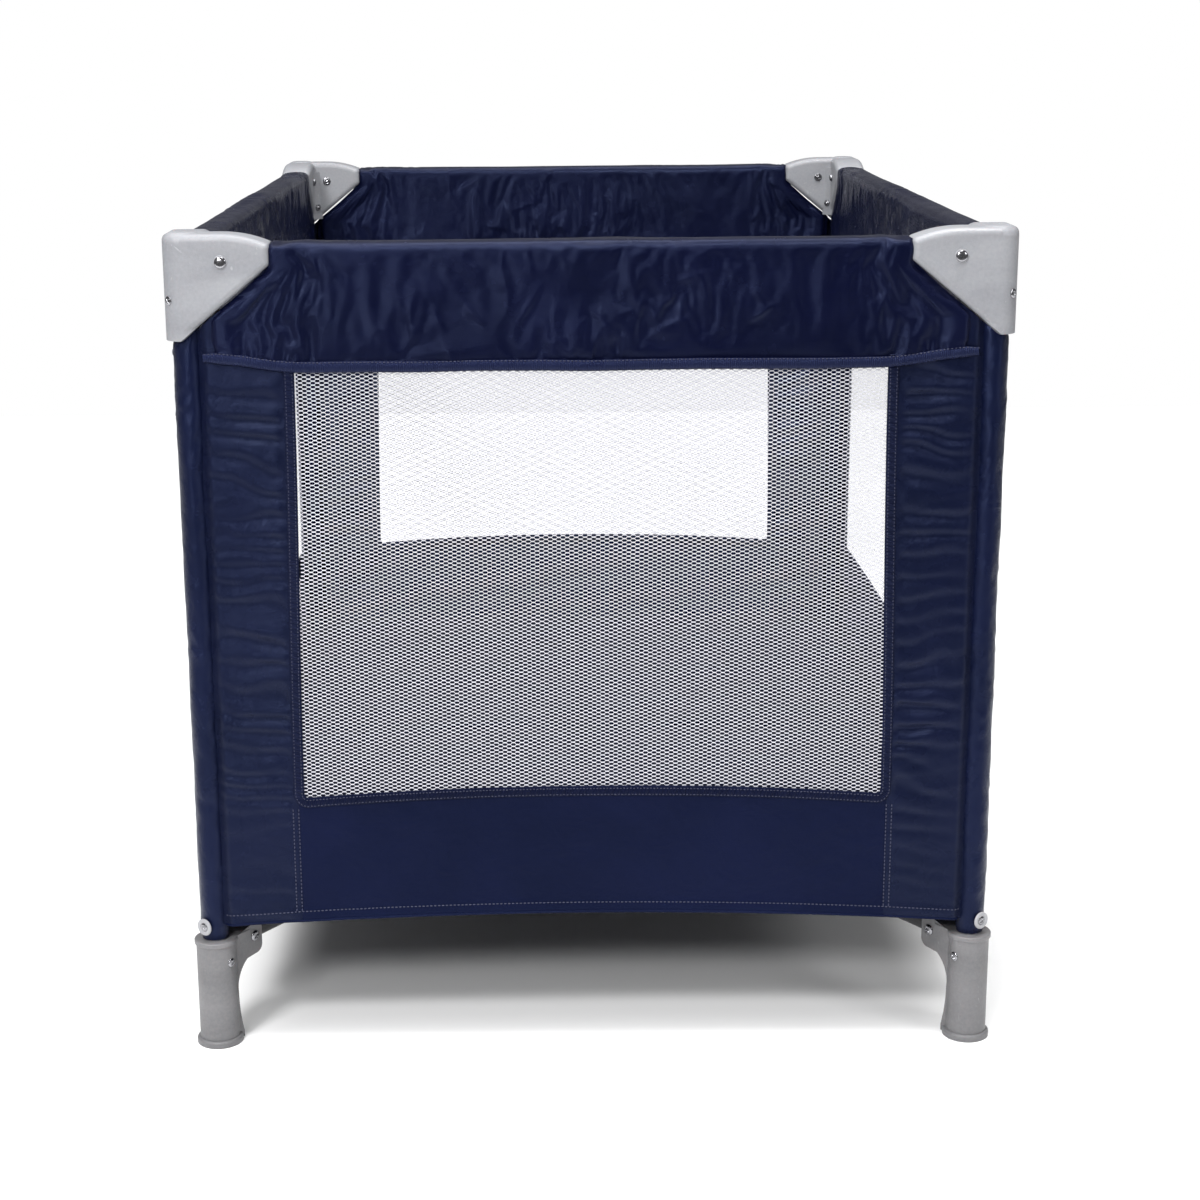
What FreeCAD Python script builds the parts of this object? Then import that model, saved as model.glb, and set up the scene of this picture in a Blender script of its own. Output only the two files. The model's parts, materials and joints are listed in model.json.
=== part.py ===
"""Folding playpen: steel tube legs, hinged top rails, a folding base and cloth walls.

Frame: millimetres, +Z up, origin on the floor at the middle of the footprint.
+X runs along the short sides and +Y along the long sides.
The four corners are named front/rear (low/high Y) and left/right (low/high X).
"""
import FreeCAD, Part
import math
import os

V = FreeCAD.Vector

# ---- driving dimensions: the whole object ----
OVERALL_WIDTH = 740.0       # over the corner caps
OVERALL_LENGTH = 1050.0     # over the corner caps
OVERALL_HEIGHT = 757.0

# ---- driving dimensions: steel frame ----
WALL = 1.2                  # wall of every steel tube
LEG_R = 11.0
RAIL_R = 11.0
BAR_R = 9.0
RAIL_AXIS_Z = 732.0
BASE_AXIS_Z = 95.0
LEG_BOTTOM_Z = 16.0
LEG_TOP_Z = 744.0
LEG_TOP_PLAY = 0.5          # between a leg's end and the cap or foot it stands in
RAIL_PIVOT_IN = 34.0        # rail pivot, inwards from the leg's axis
FOOT_PIVOT_IN = 38.0        # base bar pivot in the foot, inwards from the leg's axis
HUB_PIVOT_R = 66.0          # base bar pivot in the hub, outwards from the middle
PIN_R = 3.0
PIN_PLAY = 0.05             # running clearance of a moving tube round its pin
END_ROUND = 0.5             # how far a tube's rounded end stands past its radius
END_PLAY = 0.6              # between a tube's rounded end and the floor of its slot
SEAT_PLAY = 0.1             # clearance of a fixed tube, pin or screw in its hole
THROUGH = 200.0             # a cutter this long passes right through its part
CLEAR = 1.0                 # how far a cutter starts or ends outside its part
FLAT = 0.01                 # two places closer than this are the same

# ---- driving dimensions: corner caps ----
CAP_HALF = 18.0             # half thickness, so the cap's face is this far outside the leg's axis
CAP_REACH = 76.0            # from the leg's axis to the tip
CAP_BOTTOM_Z = 664.0
CAP_TIP_LOW_Z = 729.0
CAP_TIP_HIGH_Z = 746.5
CAP_LOBE_TOP_Z = 755.8      # at the leg, below the domed corner
CAP_LEVEL_REACH = 32.0      # the top is level this far, then arcs down to the tip
CAP_POST_R = 17.8
CAP_DOME_R = 9.0
CAP_EDGE_R = 6.0
CAP_SLOT_HALF = 13.6
CAP_SLOT_START = 21.5
CAP_SLOT_TOP_Z = 744.3
CAP_SCREW_Z = 699.0
CAP_LOW_OUT = 3.0           # the slanted edge ends this far outside the leg's axis
CAP_TIP_R = 4.0
CAP_GUSSET_REACH = 27.0     # flat across the inner corner, where the cap's screw ends
CAP_GUSSET_NEAR = 16.0
CAP_GUSSET_LOW_Z = 684.0

# ---- driving dimensions: feet ----
FOOT_R = 18.5
FOOT_FLANGE_R = 21.5
FOOT_FLANGE_H = 6.0
FOOT_RIM_Z = 104.0
FOOT_RIM_H = 5.0
FOOT_ARM_REACH = 48.0
FOOT_ARM_LOW_Z = 77.0
FOOT_ARM_HIGH_Z = 110.0
FOOT_ARM_HALF = 14.0
FOOT_SLOT_HALF = 9.8
FOOT_NECK_IN = 13.0
FOOT_NECK_Z = 47.0
FOOT_BOLT_Z = 82.0

FOOT_ARM_CHAMFER = 6.0      # at the arm's upper end
FOOT_ARM_ROUND = 8.0        # at the arm's lower end
FOOT_NECK_TOP_IN = 27.0     # where the swept neck meets the arm
FOOT_NECK_MID_RISE = 18.0
FOOT_NECK_MID_IN = 16.5
FOOT_HEEL_MID_DROP = 22.0
FOOT_HEEL_MID_IN = 14.5
FOOT_FLANGE_ROUND = 2.5
FOOT_COLLAR_OUT = 1.5
FOOT_COLLAR_ROUND = 1.2
FOOT_RIB_T = 0.8
FOOT_RIB_SHORT = 8.0        # the rim's rib ends this far short of the arm's bolt
FOOT_SLOT_FLOOR = 6.0       # thickness under the base bar's slot

# ---- driving dimensions: hub ----
HUB_ARM_HALF = 14.0
HUB_SLOT_HALF = 9.8
HUB_TOP_Z = 109.5
HUB_SLOT_TOP_Z = 105.5
HUB_BOTTOM_Z = 86.0
HUB_CORE_R = 40.0
HUB_ARM_REACH = 75.0
HUB_ARM_ROUND = 3.0
HUB_RING = 16.0             # from the core's edge to its open middle

# ---- driving dimensions: rail latches ----
LATCH_HALF = 13.0
LATCH_INNER_HALF = 11.6
LATCH_TOP_Z = 741.0
LATCH_FLOOR_Z = 717.5
LATCH_FLOOR_T = 2.0
LATCH_END = 14.0            # housing past the pivot
LATCH_PIN_R = 2.5
LATCH_GAP = 13.0            # from a pivot to the middle block's end
BUTTON_LENGTH = 14.0
BUTTON_HALF = 6.0
BUTTON_TRAVEL = 3.0
BUTTON_PLAY = 0.4
BUTTON_UP = 8.0             # the button's top, above the latch floor
BUTTON_PROUD = 0.5          # what still shows when it is pressed
BUTTON_PLAN_R = 2.5
BUTTON_EDGE_R = 1.2
LATCH_POCKET_UP = 12.0
LATCH_ROUND = 4.0
LATCH_PIN_PROUD = 0.3
LATCH_PIN_ROUND = 0.25

# ---- driving dimensions: fasteners, each as head radius, head height, nut radius, nut height ----
SCREW_R = 2.5
RAIL_BOLT = (6.2, 2.6, 5.0, 3.0)
CAP_SCREW = (4.0, 1.6, 4.0, 2.0)
ARM_BOLT = (5.2, 2.2, 4.6, 2.6)
COLUMN_BOLT = (4.4, 1.8, 4.2, 2.0)
HUB_BOLT = (5.2, 2.2, 4.6, 2.0)
SHANK_IN = 0.5              # how far a shank starts inside its head
HEAD_DOME = 0.75            # share of a head's height that is rounded
SLEEVE_BUTTON_R = 8.0
SLEEVE_BUTTON_T = 2.6
SLEEVE_BUTTON_UP = 13.7     # above the sleeve's lower end
SLEEVE_SCREW_R = 1.5
SLEEVE_SCREW_HEAD_R = 4.0
SLEEVE_SCREW_HEAD_H = 1.5
SLEEVE_SCREW_BITE = 0.1     # the screw's play in its washer

# ---- driving dimensions: soft goods ----
SLEEVE_IN_R = 11.2
SLEEVE_R = 13.0
SLEEVE_LOW_Z = 104.8
SLEEVE_HIGH_Z = 663.5
WALL_IN = 12.5              # cloth wall's inner face, outside the rails' plane
WALL_T = 1.5
WALL_END = 5.0              # from a leg's axis to the cloth wall's edge
WALL_LOW_Z = 125.0
WALL_HIGH_Z = 634.0
WINDOW_LOW_Z = 246.0
SHORT_STRIP = 89.0          # from a leg's axis to the netting on the short sides
LONG_STRIP = 30.0           # and on the long sides
COVER_IN = 13.9
COVER_T = 2.0
COVER_TOP_Z = 748.0
COVER_LOW_Z = 635.5
COVER_END = 78.0
COVER_FOOT_IN = 22.0
COVER_GAP = 3.0             # below the caps' slanted edges, at the tip
COVER_FOOT_GAP = 4.0        # and at the leg's end of them
COVER_ROUND = 3.0
FLOOR_CLOTH_Z = 126.0
FLOOR_CLOTH_T = 1.5
FLOOR_CLOTH_GAP = 0.3       # to the walls' inner faces
NOTCH_HALF = 18.0           # half width of the floor cloth's notch round a leg
NOTCH_OUT = 2.0
MAT_LOW_Z = 129.0
MAT_T = 18.5
MAT_GAP = 6.0               # between the mat and the legs' axes
MAT_CORNER_R = 48.0
MAT_EDGE_R = 7.0

# ---- worked out ----
LEG_X = OVERALL_WIDTH / 2 - CAP_HALF
LEG_Y = OVERALL_LENGTH / 2 - CAP_HALF
DIAGONAL = math.hypot(LEG_X, LEG_Y)
COS_X = LEG_X / DIAGONAL
COS_Y = LEG_Y / DIAGONAL
# The latch pivots sit where the rails and the base bars fold through the same angle.
LATCH_X = COS_X * (HUB_PIVOT_R + FOOT_PIVOT_IN) - RAIL_PIVOT_IN
LATCH_Y = COS_Y * (HUB_PIVOT_R + FOOT_PIVOT_IN) - RAIL_PIVOT_IN

CORNERS = {
    "front_left": (-1, -1),
    "front_right": (1, -1),
    "rear_left": (-1, 1),
    "rear_right": (1, 1),
}
# side name: outward direction, along direction, distance of the rails' plane, half span of the legs,
# latch half spacing, edge of the netting
SIDES = {
    "front": (V(0, -1, 0), V(1, 0, 0), LEG_Y, LEG_X, LATCH_X, SHORT_STRIP),
    "rear": (V(0, 1, 0), V(-1, 0, 0), LEG_Y, LEG_X, LATCH_X, SHORT_STRIP),
    "left": (V(-1, 0, 0), V(0, -1, 0), LEG_X, LEG_Y, LATCH_Y, LONG_STRIP),
    "right": (V(1, 0, 0), V(0, 1, 0), LEG_X, LEG_Y, LATCH_Y, LONG_STRIP),
}


def save(shape, node):
    shape.exportStep("parts/" + node + ".step")


def frame_at(shape, x_axis, y_axis, origin):
    """Place a shape that was made in local axes: x_axis, y_axis and their cross product."""
    z_axis = x_axis.cross(y_axis)
    matrix = FreeCAD.Matrix(
        x_axis.x, y_axis.x, z_axis.x, origin.x,
        x_axis.y, y_axis.y, z_axis.y, origin.y,
        x_axis.z, y_axis.z, z_axis.z, origin.z,
        0, 0, 0, 1)
    placed = shape.copy()
    placed.Placement = FreeCAD.Placement(matrix)
    return placed


def box(low, high):
    return Part.makeBox(high[0] - low[0], high[1] - low[1], high[2] - low[2], V(*low))


def rod(radius, start, end):
    run = end - start
    return Part.makeCylinder(radius, run.Length, start, run)


def polygon(points):
    return Part.makePolygon([V(*p) for p in points] + [V(*points[0])])


def prism(points, run):
    return Part.Face(polygon(points)).extrude(run)


def edges_where(shape, test):
    return [edge for edge in shape.Edges if test(edge)]


def lies_along(edge, direction):
    """True for a straight edge that runs along the direction."""
    if not isinstance(edge.Curve, Part.Line):
        return False
    return abs(abs(edge.Curve.Direction.dot(direction)) - 1) < 1e-6


def domed_pin(radius, sizes, start, end):
    """A pin with a domed head before its start and a flat-ended collar after its end."""
    head_r, head_h, nut_r, nut_h = sizes
    run = end - start
    along = V(run)
    along.normalize()
    shank = rod(radius, start - along * SHANK_IN, end + along * nut_h)
    head = Part.makeCylinder(head_r, head_h, start - along * head_h, along)
    outer_rim = edges_where(head, lambda e: e.Length > head_r * math.tau - SEAT_PLAY
                            and (e.CenterOfMass - start).Length > head_h - SEAT_PLAY)
    head = head.makeFillet(head_h * HEAD_DOME, outer_rim)
    nut = rod(nut_r, end, end + along * nut_h)
    return shank.fuse([head, nut]).removeSplitter()


# ---------------------------------------------------------------- corner caps
def slant_z(inward):
    """Height of a cap's slanted lower edge, at a distance inwards from the leg's axis."""
    slope = (CAP_TIP_LOW_Z - CAP_BOTTOM_Z) / (CAP_REACH + CAP_LOW_OUT)
    return CAP_BOTTOM_Z + (inward + CAP_LOW_OUT) * slope


def below_slant(inward):
    """What lies under one slanted edge near the leg, across the whole cap."""
    reach = CAP_HALF + CLEAR
    floor_z = slant_z(-reach) - CLEAR
    wedge = prism([(-reach, -reach, slant_z(-reach)), (reach, -reach, slant_z(reach)),
                   (reach, -reach, floor_z), (-reach, -reach, floor_z)], V(0, reach * 2, 0))
    return frame_at(wedge, inward, V(0, 0, 1).cross(inward), V(0, 0, 0))


def cap_lobe(lobe_in):
    """One arm of a cap, reaching from the leg's axis along lobe_in; its top ends in an arc down to the tip."""
    run = CAP_REACH - CAP_LEVEL_REACH
    drop = CAP_LOBE_TOP_Z - CAP_TIP_HIGH_Z
    arc_r = (run ** 2 + drop ** 2) / (2 * drop)
    half_way_z = CAP_LOBE_TOP_Z - arc_r + math.sqrt(arc_r ** 2 - (run / 2) ** 2)
    post_low = V(0, 0, slant_z(0))
    post_high = V(0, 0, CAP_LOBE_TOP_Z)
    level_end = V(CAP_LEVEL_REACH, 0, CAP_LOBE_TOP_Z)
    tip_low = V(CAP_REACH, 0, CAP_TIP_LOW_Z)
    tip_high = V(CAP_REACH, 0, CAP_TIP_HIGH_Z)
    outline = [
        Part.makeLine(post_low, tip_low),
        Part.makeLine(tip_low, tip_high),
        Part.Arc(tip_high, V(CAP_LEVEL_REACH + run / 2, 0, half_way_z), level_end).toShape(),
        Part.makeLine(level_end, post_high),
        Part.makeLine(post_high, post_low),
    ]
    lobe = Part.Face(Part.Wire(outline)).extrude(V(0, CAP_HALF * 2, 0))
    lobe.translate(V(0, -CAP_HALF, 0))
    tip = edges_where(lobe, lambda e: lies_along(e, V(0, 1, 0)) and e.CenterOfMass.x > CAP_REACH - CLEAR)
    lobe = lobe.makeFillet(CAP_TIP_R, tip)
    top = edges_where(lobe, lambda e: e.CenterOfMass.z > CAP_TIP_HIGH_Z
                      and abs(abs(e.CenterOfMass.y) - CAP_HALF) < FLAT and e.Length > CAP_HALF)
    lobe = lobe.makeFillet(CAP_EDGE_R, top)
    return frame_at(lobe, lobe_in, V(0, 0, 1).cross(lobe_in), V(0, 0, 0))


def corner_cap(sx, sy):
    in_x = V(-sx, 0, 0)
    in_y = V(0, -sy, 0)
    post = Part.makeCylinder(CAP_POST_R, OVERALL_HEIGHT - CAP_BOTTOM_Z, V(0, 0, CAP_BOTTOM_Z))
    rim = edges_where(post, lambda e: e.CenterOfMass.z > OVERALL_HEIGHT - CLEAR and e.Length > CAP_HALF)
    post = post.makeFillet(CAP_DOME_R, rim)
    near = CAP_GUSSET_NEAR
    gusset = prism([(-sx * near, -sy * near, CAP_GUSSET_LOW_Z),
                    (-sx * CAP_GUSSET_REACH, -sy * near, CAP_GUSSET_LOW_Z),
                    (-sx * near, -sy * CAP_GUSSET_REACH, CAP_GUSSET_LOW_Z)],
                   V(0, 0, CAP_SLOT_TOP_Z - CAP_GUSSET_LOW_Z))
    cap = cap_lobe(in_x).fuse(cap_lobe(in_y)).fuse(post).fuse(gusset)
    screw = V(0, 0, CAP_SCREW_Z)
    screw_run = cap_screw_axis(sx, sy) * CAP_REACH
    cuts = [
        rod(LEG_R + SEAT_PLAY, V(0, 0, 0), V(0, 0, LEG_TOP_Z + LEG_TOP_PLAY)),
        rod(SCREW_R + SEAT_PLAY, screw - screw_run, screw + screw_run),
    ]
    for inward, across in ((in_x, in_y), (in_y, in_x)):
        cuts.append(below_slant(inward))
        slot = box((CAP_SLOT_START, -CAP_SLOT_HALF, CAP_BOTTOM_Z - CLEAR),
                   (CAP_REACH + CLEAR, CAP_SLOT_HALF, CAP_SLOT_TOP_Z))
        cuts.append(frame_at(slot, inward, V(0, 0, 1).cross(inward), V(0, 0, 0)))
        pivot = inward * RAIL_PIVOT_IN + V(0, 0, RAIL_AXIS_Z)
        side = across * (CAP_HALF + CLEAR)
        cuts.append(rod(PIN_R + SEAT_PLAY, pivot - side, pivot + side))
    return cap.cut(cuts).removeSplitter()


def cap_screw_axis(sx, sy):
    return V(-sx, -sy, 0) / math.sqrt(2)


# ---------------------------------------------------------------- legs and feet
def leg_tube(sx, sy):
    tube = rod(LEG_R, V(0, 0, LEG_BOTTOM_Z), V(0, 0, LEG_TOP_Z))
    tube = tube.cut(rod(LEG_R - WALL, V(0, 0, LEG_BOTTOM_Z - CLEAR), V(0, 0, LEG_TOP_Z + CLEAR)))
    _, across, _ = local_axes(sx, sy)
    screw = V(0, 0, CAP_SCREW_Z)
    screw_run = cap_screw_axis(sx, sy) * (LEG_R + CLEAR)
    bolt = V(0, 0, FOOT_BOLT_Z)
    bolt_run = across * (LEG_R + CLEAR)
    holes = [
        rod(SCREW_R + SEAT_PLAY, screw - screw_run, screw + screw_run),
        rod(SCREW_R + SEAT_PLAY, bolt - bolt_run, bolt + bolt_run),
    ]
    return tube.cut(holes)


def foot_profile():
    """The foot's side view in local X (inwards) and Z, with the swept neck under the arm."""
    rim_end = V(FOOT_R, 0, FOOT_RIM_Z)
    arm_top = V(FOOT_ARM_REACH - FOOT_ARM_CHAMFER, 0, FOOT_ARM_HIGH_Z)
    arm_end = V(FOOT_ARM_REACH, 0, FOOT_ARM_HIGH_Z - FOOT_ARM_CHAMFER)
    arm_corner = V(FOOT_ARM_REACH, 0, FOOT_ARM_LOW_Z + FOOT_ARM_ROUND)
    inset = FOOT_ARM_ROUND * (1 - math.sqrt(0.5))
    arm_round = V(FOOT_ARM_REACH - inset, 0, FOOT_ARM_LOW_Z + inset)
    arm_low = V(FOOT_ARM_REACH - FOOT_ARM_ROUND, 0, FOOT_ARM_LOW_Z)
    neck_high = V(FOOT_NECK_TOP_IN, 0, FOOT_ARM_LOW_Z - CLEAR)
    neck_mid = V(FOOT_NECK_MID_IN, 0, FOOT_NECK_Z + FOOT_NECK_MID_RISE)
    neck = V(FOOT_NECK_IN, 0, FOOT_NECK_Z)
    heel_mid = V(FOOT_HEEL_MID_IN, 0, FOOT_NECK_Z - FOOT_HEEL_MID_DROP)
    heel = V(FOOT_R, 0, FOOT_FLANGE_H)
    edges = [
        Part.makeLine(V(0, 0, 0), V(0, 0, FOOT_RIM_Z)),
        Part.makeLine(V(0, 0, FOOT_RIM_Z), rim_end),
        Part.makeLine(rim_end, arm_top),
        Part.makeLine(arm_top, arm_end),
        Part.makeLine(arm_end, arm_corner),
        Part.Arc(arm_corner, arm_round, arm_low).toShape(),
        Part.makeLine(arm_low, neck_high),
        Part.Arc(neck_high, neck_mid, neck).toShape(),
        Part.Arc(neck, heel_mid, heel).toShape(),
        Part.makeLine(heel, V(FOOT_R, 0, 0)),
        Part.makeLine(V(FOOT_R, 0, 0), V(0, 0, 0)),
    ]
    return Part.Face(Part.Wire(edges))


def foot(sx, sy):
    """Made in local axes with +X pointing inwards along the diagonal."""
    wide = FOOT_R + CLEAR
    column = Part.makeCylinder(FOOT_R, FOOT_RIM_Z)
    outer_half = column.common(box((-wide, -wide, -CLEAR), (0, wide, FOOT_RIM_Z + CLEAR)))
    web = foot_profile().extrude(V(0, FOOT_R * 2, 0))
    web.translate(V(0, -FOOT_R, 0))
    plan = Part.makeCylinder(FOOT_R, THROUGH, V(0, 0, -CLEAR))
    plan = plan.fuse(box((0, -FOOT_ARM_HALF, -CLEAR), (FOOT_ARM_REACH + CLEAR, FOOT_ARM_HALF, THROUGH)))
    body = outer_half.fuse(web.common(plan))
    flange = Part.makeCylinder(FOOT_FLANGE_R, FOOT_FLANGE_H)
    flange_rim = edges_where(flange, lambda e: e.CenterOfMass.z > CLEAR and e.Length > FOOT_FLANGE_R)
    flange = flange.makeFillet(FOOT_FLANGE_ROUND, flange_rim)
    collar = Part.makeCylinder(FOOT_R + FOOT_COLLAR_OUT, FOOT_RIM_H, V(0, 0, FOOT_RIM_Z - FOOT_RIM_H))
    lip = edges_where(collar, lambda e: e.Length > FOOT_R)
    collar = collar.makeFillet(FOOT_COLLAR_ROUND, lip)
    ribs = []
    for side in (-1, 1):
        middle_y = side * FOOT_ARM_HALF
        ribs.append(box((0, middle_y - FOOT_RIB_T, FOOT_RIM_Z - FOOT_RIM_H),
                        (FOOT_PIVOT_IN - FOOT_RIB_SHORT, middle_y + FOOT_RIB_T, FOOT_RIM_Z)))
    body = body.fuse([flange, collar] + ribs)
    slot_start = FOOT_PIVOT_IN - BAR_R - END_ROUND - END_PLAY
    pivot = V(FOOT_PIVOT_IN, 0, BASE_AXIS_Z)
    bolt = V(0, 0, FOOT_BOLT_Z)
    side = V(0, FOOT_FLANGE_R, 0)
    cuts = [
        rod(LEG_R + SEAT_PLAY, V(0, 0, LEG_BOTTOM_Z - LEG_TOP_PLAY), V(0, 0, THROUGH)),
        box((slot_start, -FOOT_SLOT_HALF, FOOT_ARM_LOW_Z + FOOT_SLOT_FLOOR),
            (FOOT_ARM_REACH + CLEAR, FOOT_SLOT_HALF, THROUGH)),
        rod(PIN_R + SEAT_PLAY, pivot - side, pivot + side),
        rod(SCREW_R + SEAT_PLAY, bolt - side, bolt + side),
    ]
    body = body.cut(cuts).removeSplitter()
    return frame_at(body, *local_axes(sx, sy))


def local_axes(sx, sy):
    """Inward diagonal, its perpendicular, and no shift: the axes that feet and bars are made in."""
    inward = V(-sx * COS_X, -sy * COS_Y, 0)
    return inward, V(0, 0, 1).cross(inward), V(0, 0, 0)


def leg_fasteners(sx, sy):
    """Rail pivot bolts, the cap's screw, the foot's bolts and the sleeve's button with its screw."""
    in_x = V(-sx, 0, 0)
    in_y = V(0, -sy, 0)
    inward, across, _ = local_axes(sx, sy)
    pieces = []
    for along, depth in ((in_x, in_y), (in_y, in_x)):
        pivot = along * RAIL_PIVOT_IN + V(0, 0, RAIL_AXIS_Z)
        pieces.append(domed_pin(PIN_R, RAIL_BOLT, pivot - depth * CAP_HALF, pivot + depth * CAP_HALF))
    screw = V(0, 0, CAP_SCREW_Z)
    screw_axis = cap_screw_axis(sx, sy)
    head_at = screw - screw_axis * CAP_POST_R
    gusset_face = (CAP_GUSSET_NEAR + CAP_GUSSET_REACH) / math.sqrt(2)
    pieces.append(domed_pin(SCREW_R, CAP_SCREW, head_at, screw + screw_axis * gusset_face))
    # The two foot bolts show their heads on the side that faces along the long walls.
    facing = across if across.y * sy > 0 else across * -1
    arm = inward * FOOT_PIVOT_IN + V(0, 0, BASE_AXIS_Z)
    pieces.append(domed_pin(PIN_R, ARM_BOLT, arm + facing * FOOT_ARM_HALF, arm - facing * FOOT_ARM_HALF))
    bolt = V(0, 0, FOOT_BOLT_Z)
    pieces.append(domed_pin(SCREW_R, COLUMN_BOLT, bolt + facing * FOOT_R, bolt - facing * FOOT_R))
    return Part.makeCompound(pieces + sleeve_button(inward))


def sleeve_button(inward):
    """The washer that holds the sleeve's lower end, shaped to the leg, and its screw."""
    button_z = SLEEVE_LOW_Z + SLEEVE_BUTTON_UP
    skin = -inward * SLEEVE_R + V(0, 0, button_z)
    face = skin - inward * SLEEVE_BUTTON_T
    leg = rod(SLEEVE_R + SEAT_PLAY, V(0, 0, button_z - THROUGH), V(0, 0, button_z + THROUGH))
    washer = rod(SLEEVE_BUTTON_R, skin, face)
    washer = washer.cut([rod(SLEEVE_SCREW_R + SLEEVE_SCREW_BITE, skin + inward, face - inward), leg])
    seat = face - inward * SLEEVE_SCREW_BITE
    shank = rod(SLEEVE_SCREW_R, skin + inward, seat).cut(leg)
    head = rod(SLEEVE_SCREW_HEAD_R, seat, seat - inward * SLEEVE_SCREW_HEAD_H)
    return [washer, shank.fuse(head).removeSplitter()]


def leg_sleeve():
    sleeve = rod(SLEEVE_R, V(0, 0, SLEEVE_LOW_Z), V(0, 0, SLEEVE_HIGH_Z))
    return sleeve.cut(rod(SLEEVE_IN_R, V(0, 0, SLEEVE_LOW_Z - CLEAR), V(0, 0, SLEEVE_HIGH_Z + CLEAR)))


# ---------------------------------------------------------------- hinged tubes
def hinged_tube(radius, length, pin_hole_start, pin_hole_end):
    """A tube along local +X between two cross pins, its ends rounded about the pins."""
    end_r = radius + END_ROUND
    tube = rod(radius, V(0, 0, 0), V(length, 0, 0))
    shape_plan = box((0, -end_r, -end_r), (length, end_r, end_r))
    for x in (0, length):
        shape_plan = shape_plan.fuse(rod(end_r, V(x, -end_r, 0), V(x, end_r, 0)))
    tube = tube.fuse([rod(radius, V(-end_r, 0, 0), V(CLEAR, 0, 0)),
                      rod(radius, V(length - CLEAR, 0, 0), V(length + end_r, 0, 0))])
    tube = tube.common(shape_plan)
    bore = rod(radius - WALL, V(-end_r - CLEAR, 0, 0), V(length + end_r + CLEAR, 0, 0))
    side = V(0, radius + CLEAR, 0)
    far = V(length, 0, 0)
    pins = [rod(pin_hole_start, -side, side), rod(pin_hole_end, far - side, far + side)]
    return tube.cut([bore] + pins).removeSplitter()


def base_bar(sx, sy):
    length = DIAGONAL - FOOT_PIVOT_IN - HUB_PIVOT_R
    bar = hinged_tube(BAR_R, length, PIN_R + PIN_PLAY, PIN_R + PIN_PLAY)
    inward, across, _ = local_axes(sx, sy)
    start = V(sx * LEG_X, sy * LEG_Y, BASE_AXIS_Z) + inward * FOOT_PIVOT_IN
    return frame_at(bar, inward, across, start)


def rail_half(corner, along):
    """A top rail from its cap to the latch, along the given inward direction."""
    sx, sy = CORNERS[corner]
    half_span = LEG_X if along.x else LEG_Y
    latch = LATCH_X if along.x else LATCH_Y
    length = half_span - RAIL_PIVOT_IN - latch
    rail = hinged_tube(RAIL_R, length, PIN_R + PIN_PLAY, LATCH_PIN_R + PIN_PLAY)
    start = V(sx * LEG_X, sy * LEG_Y, RAIL_AXIS_Z) + along * RAIL_PIVOT_IN
    return frame_at(rail, along, V(0, 0, 1).cross(along), start)


# ---------------------------------------------------------------- hub
def hub():
    body = Part.makeCylinder(HUB_CORE_R, HUB_TOP_Z - HUB_BOTTOM_Z, V(0, 0, HUB_BOTTOM_Z))
    cuts = []
    for sx, sy in CORNERS.values():
        inward, across, _ = local_axes(sx, sy)
        arm = box((0, -HUB_ARM_HALF, HUB_BOTTOM_Z), (HUB_ARM_REACH, HUB_ARM_HALF, HUB_TOP_Z))
        tip = edges_where(arm, lambda e: lies_along(e, V(0, 0, 1)) and e.CenterOfMass.x > CLEAR)
        arm = arm.makeFillet(HUB_ARM_ROUND, tip)
        body = body.fuse(frame_at(arm, inward * -1, across * -1, V(0, 0, 0)))
        slot = box((HUB_PIVOT_R - BAR_R - END_ROUND - END_PLAY, -HUB_SLOT_HALF, HUB_BOTTOM_Z - CLEAR),
                   (HUB_ARM_REACH + CLEAR, HUB_SLOT_HALF, HUB_SLOT_TOP_Z))
        cuts.append(frame_at(slot, inward * -1, across * -1, V(0, 0, 0)))
        pivot = inward * -HUB_PIVOT_R + V(0, 0, BASE_AXIS_Z)
        side = across * (HUB_ARM_HALF + CLEAR)
        cuts.append(rod(PIN_R + SEAT_PLAY, pivot - side, pivot + side))
    ring_low = HUB_BOTTOM_Z - CLEAR
    cuts.append(Part.makeCylinder(HUB_CORE_R - HUB_RING, HUB_SLOT_TOP_Z - ring_low, V(0, 0, ring_low)))
    return body.cut(cuts).removeSplitter()


def hub_bolts():
    bolts = []
    for sx, sy in CORNERS.values():
        inward, across, _ = local_axes(sx, sy)
        pivot = inward * -HUB_PIVOT_R + V(0, 0, BASE_AXIS_Z)
        reach = across * HUB_ARM_HALF
        bolts.append(domed_pin(PIN_R, HUB_BOLT, pivot - reach, pivot + reach))
    return Part.makeCompound(bolts)


# ---------------------------------------------------------------- rail latches
def on_side(shape, side):
    """Place a shape made in local axes: +X along the side, +Y outwards, +Z up."""
    outward, along, plane, _, _, _ = SIDES[side]
    return frame_at(shape, along * -1, outward, outward * plane)


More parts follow.
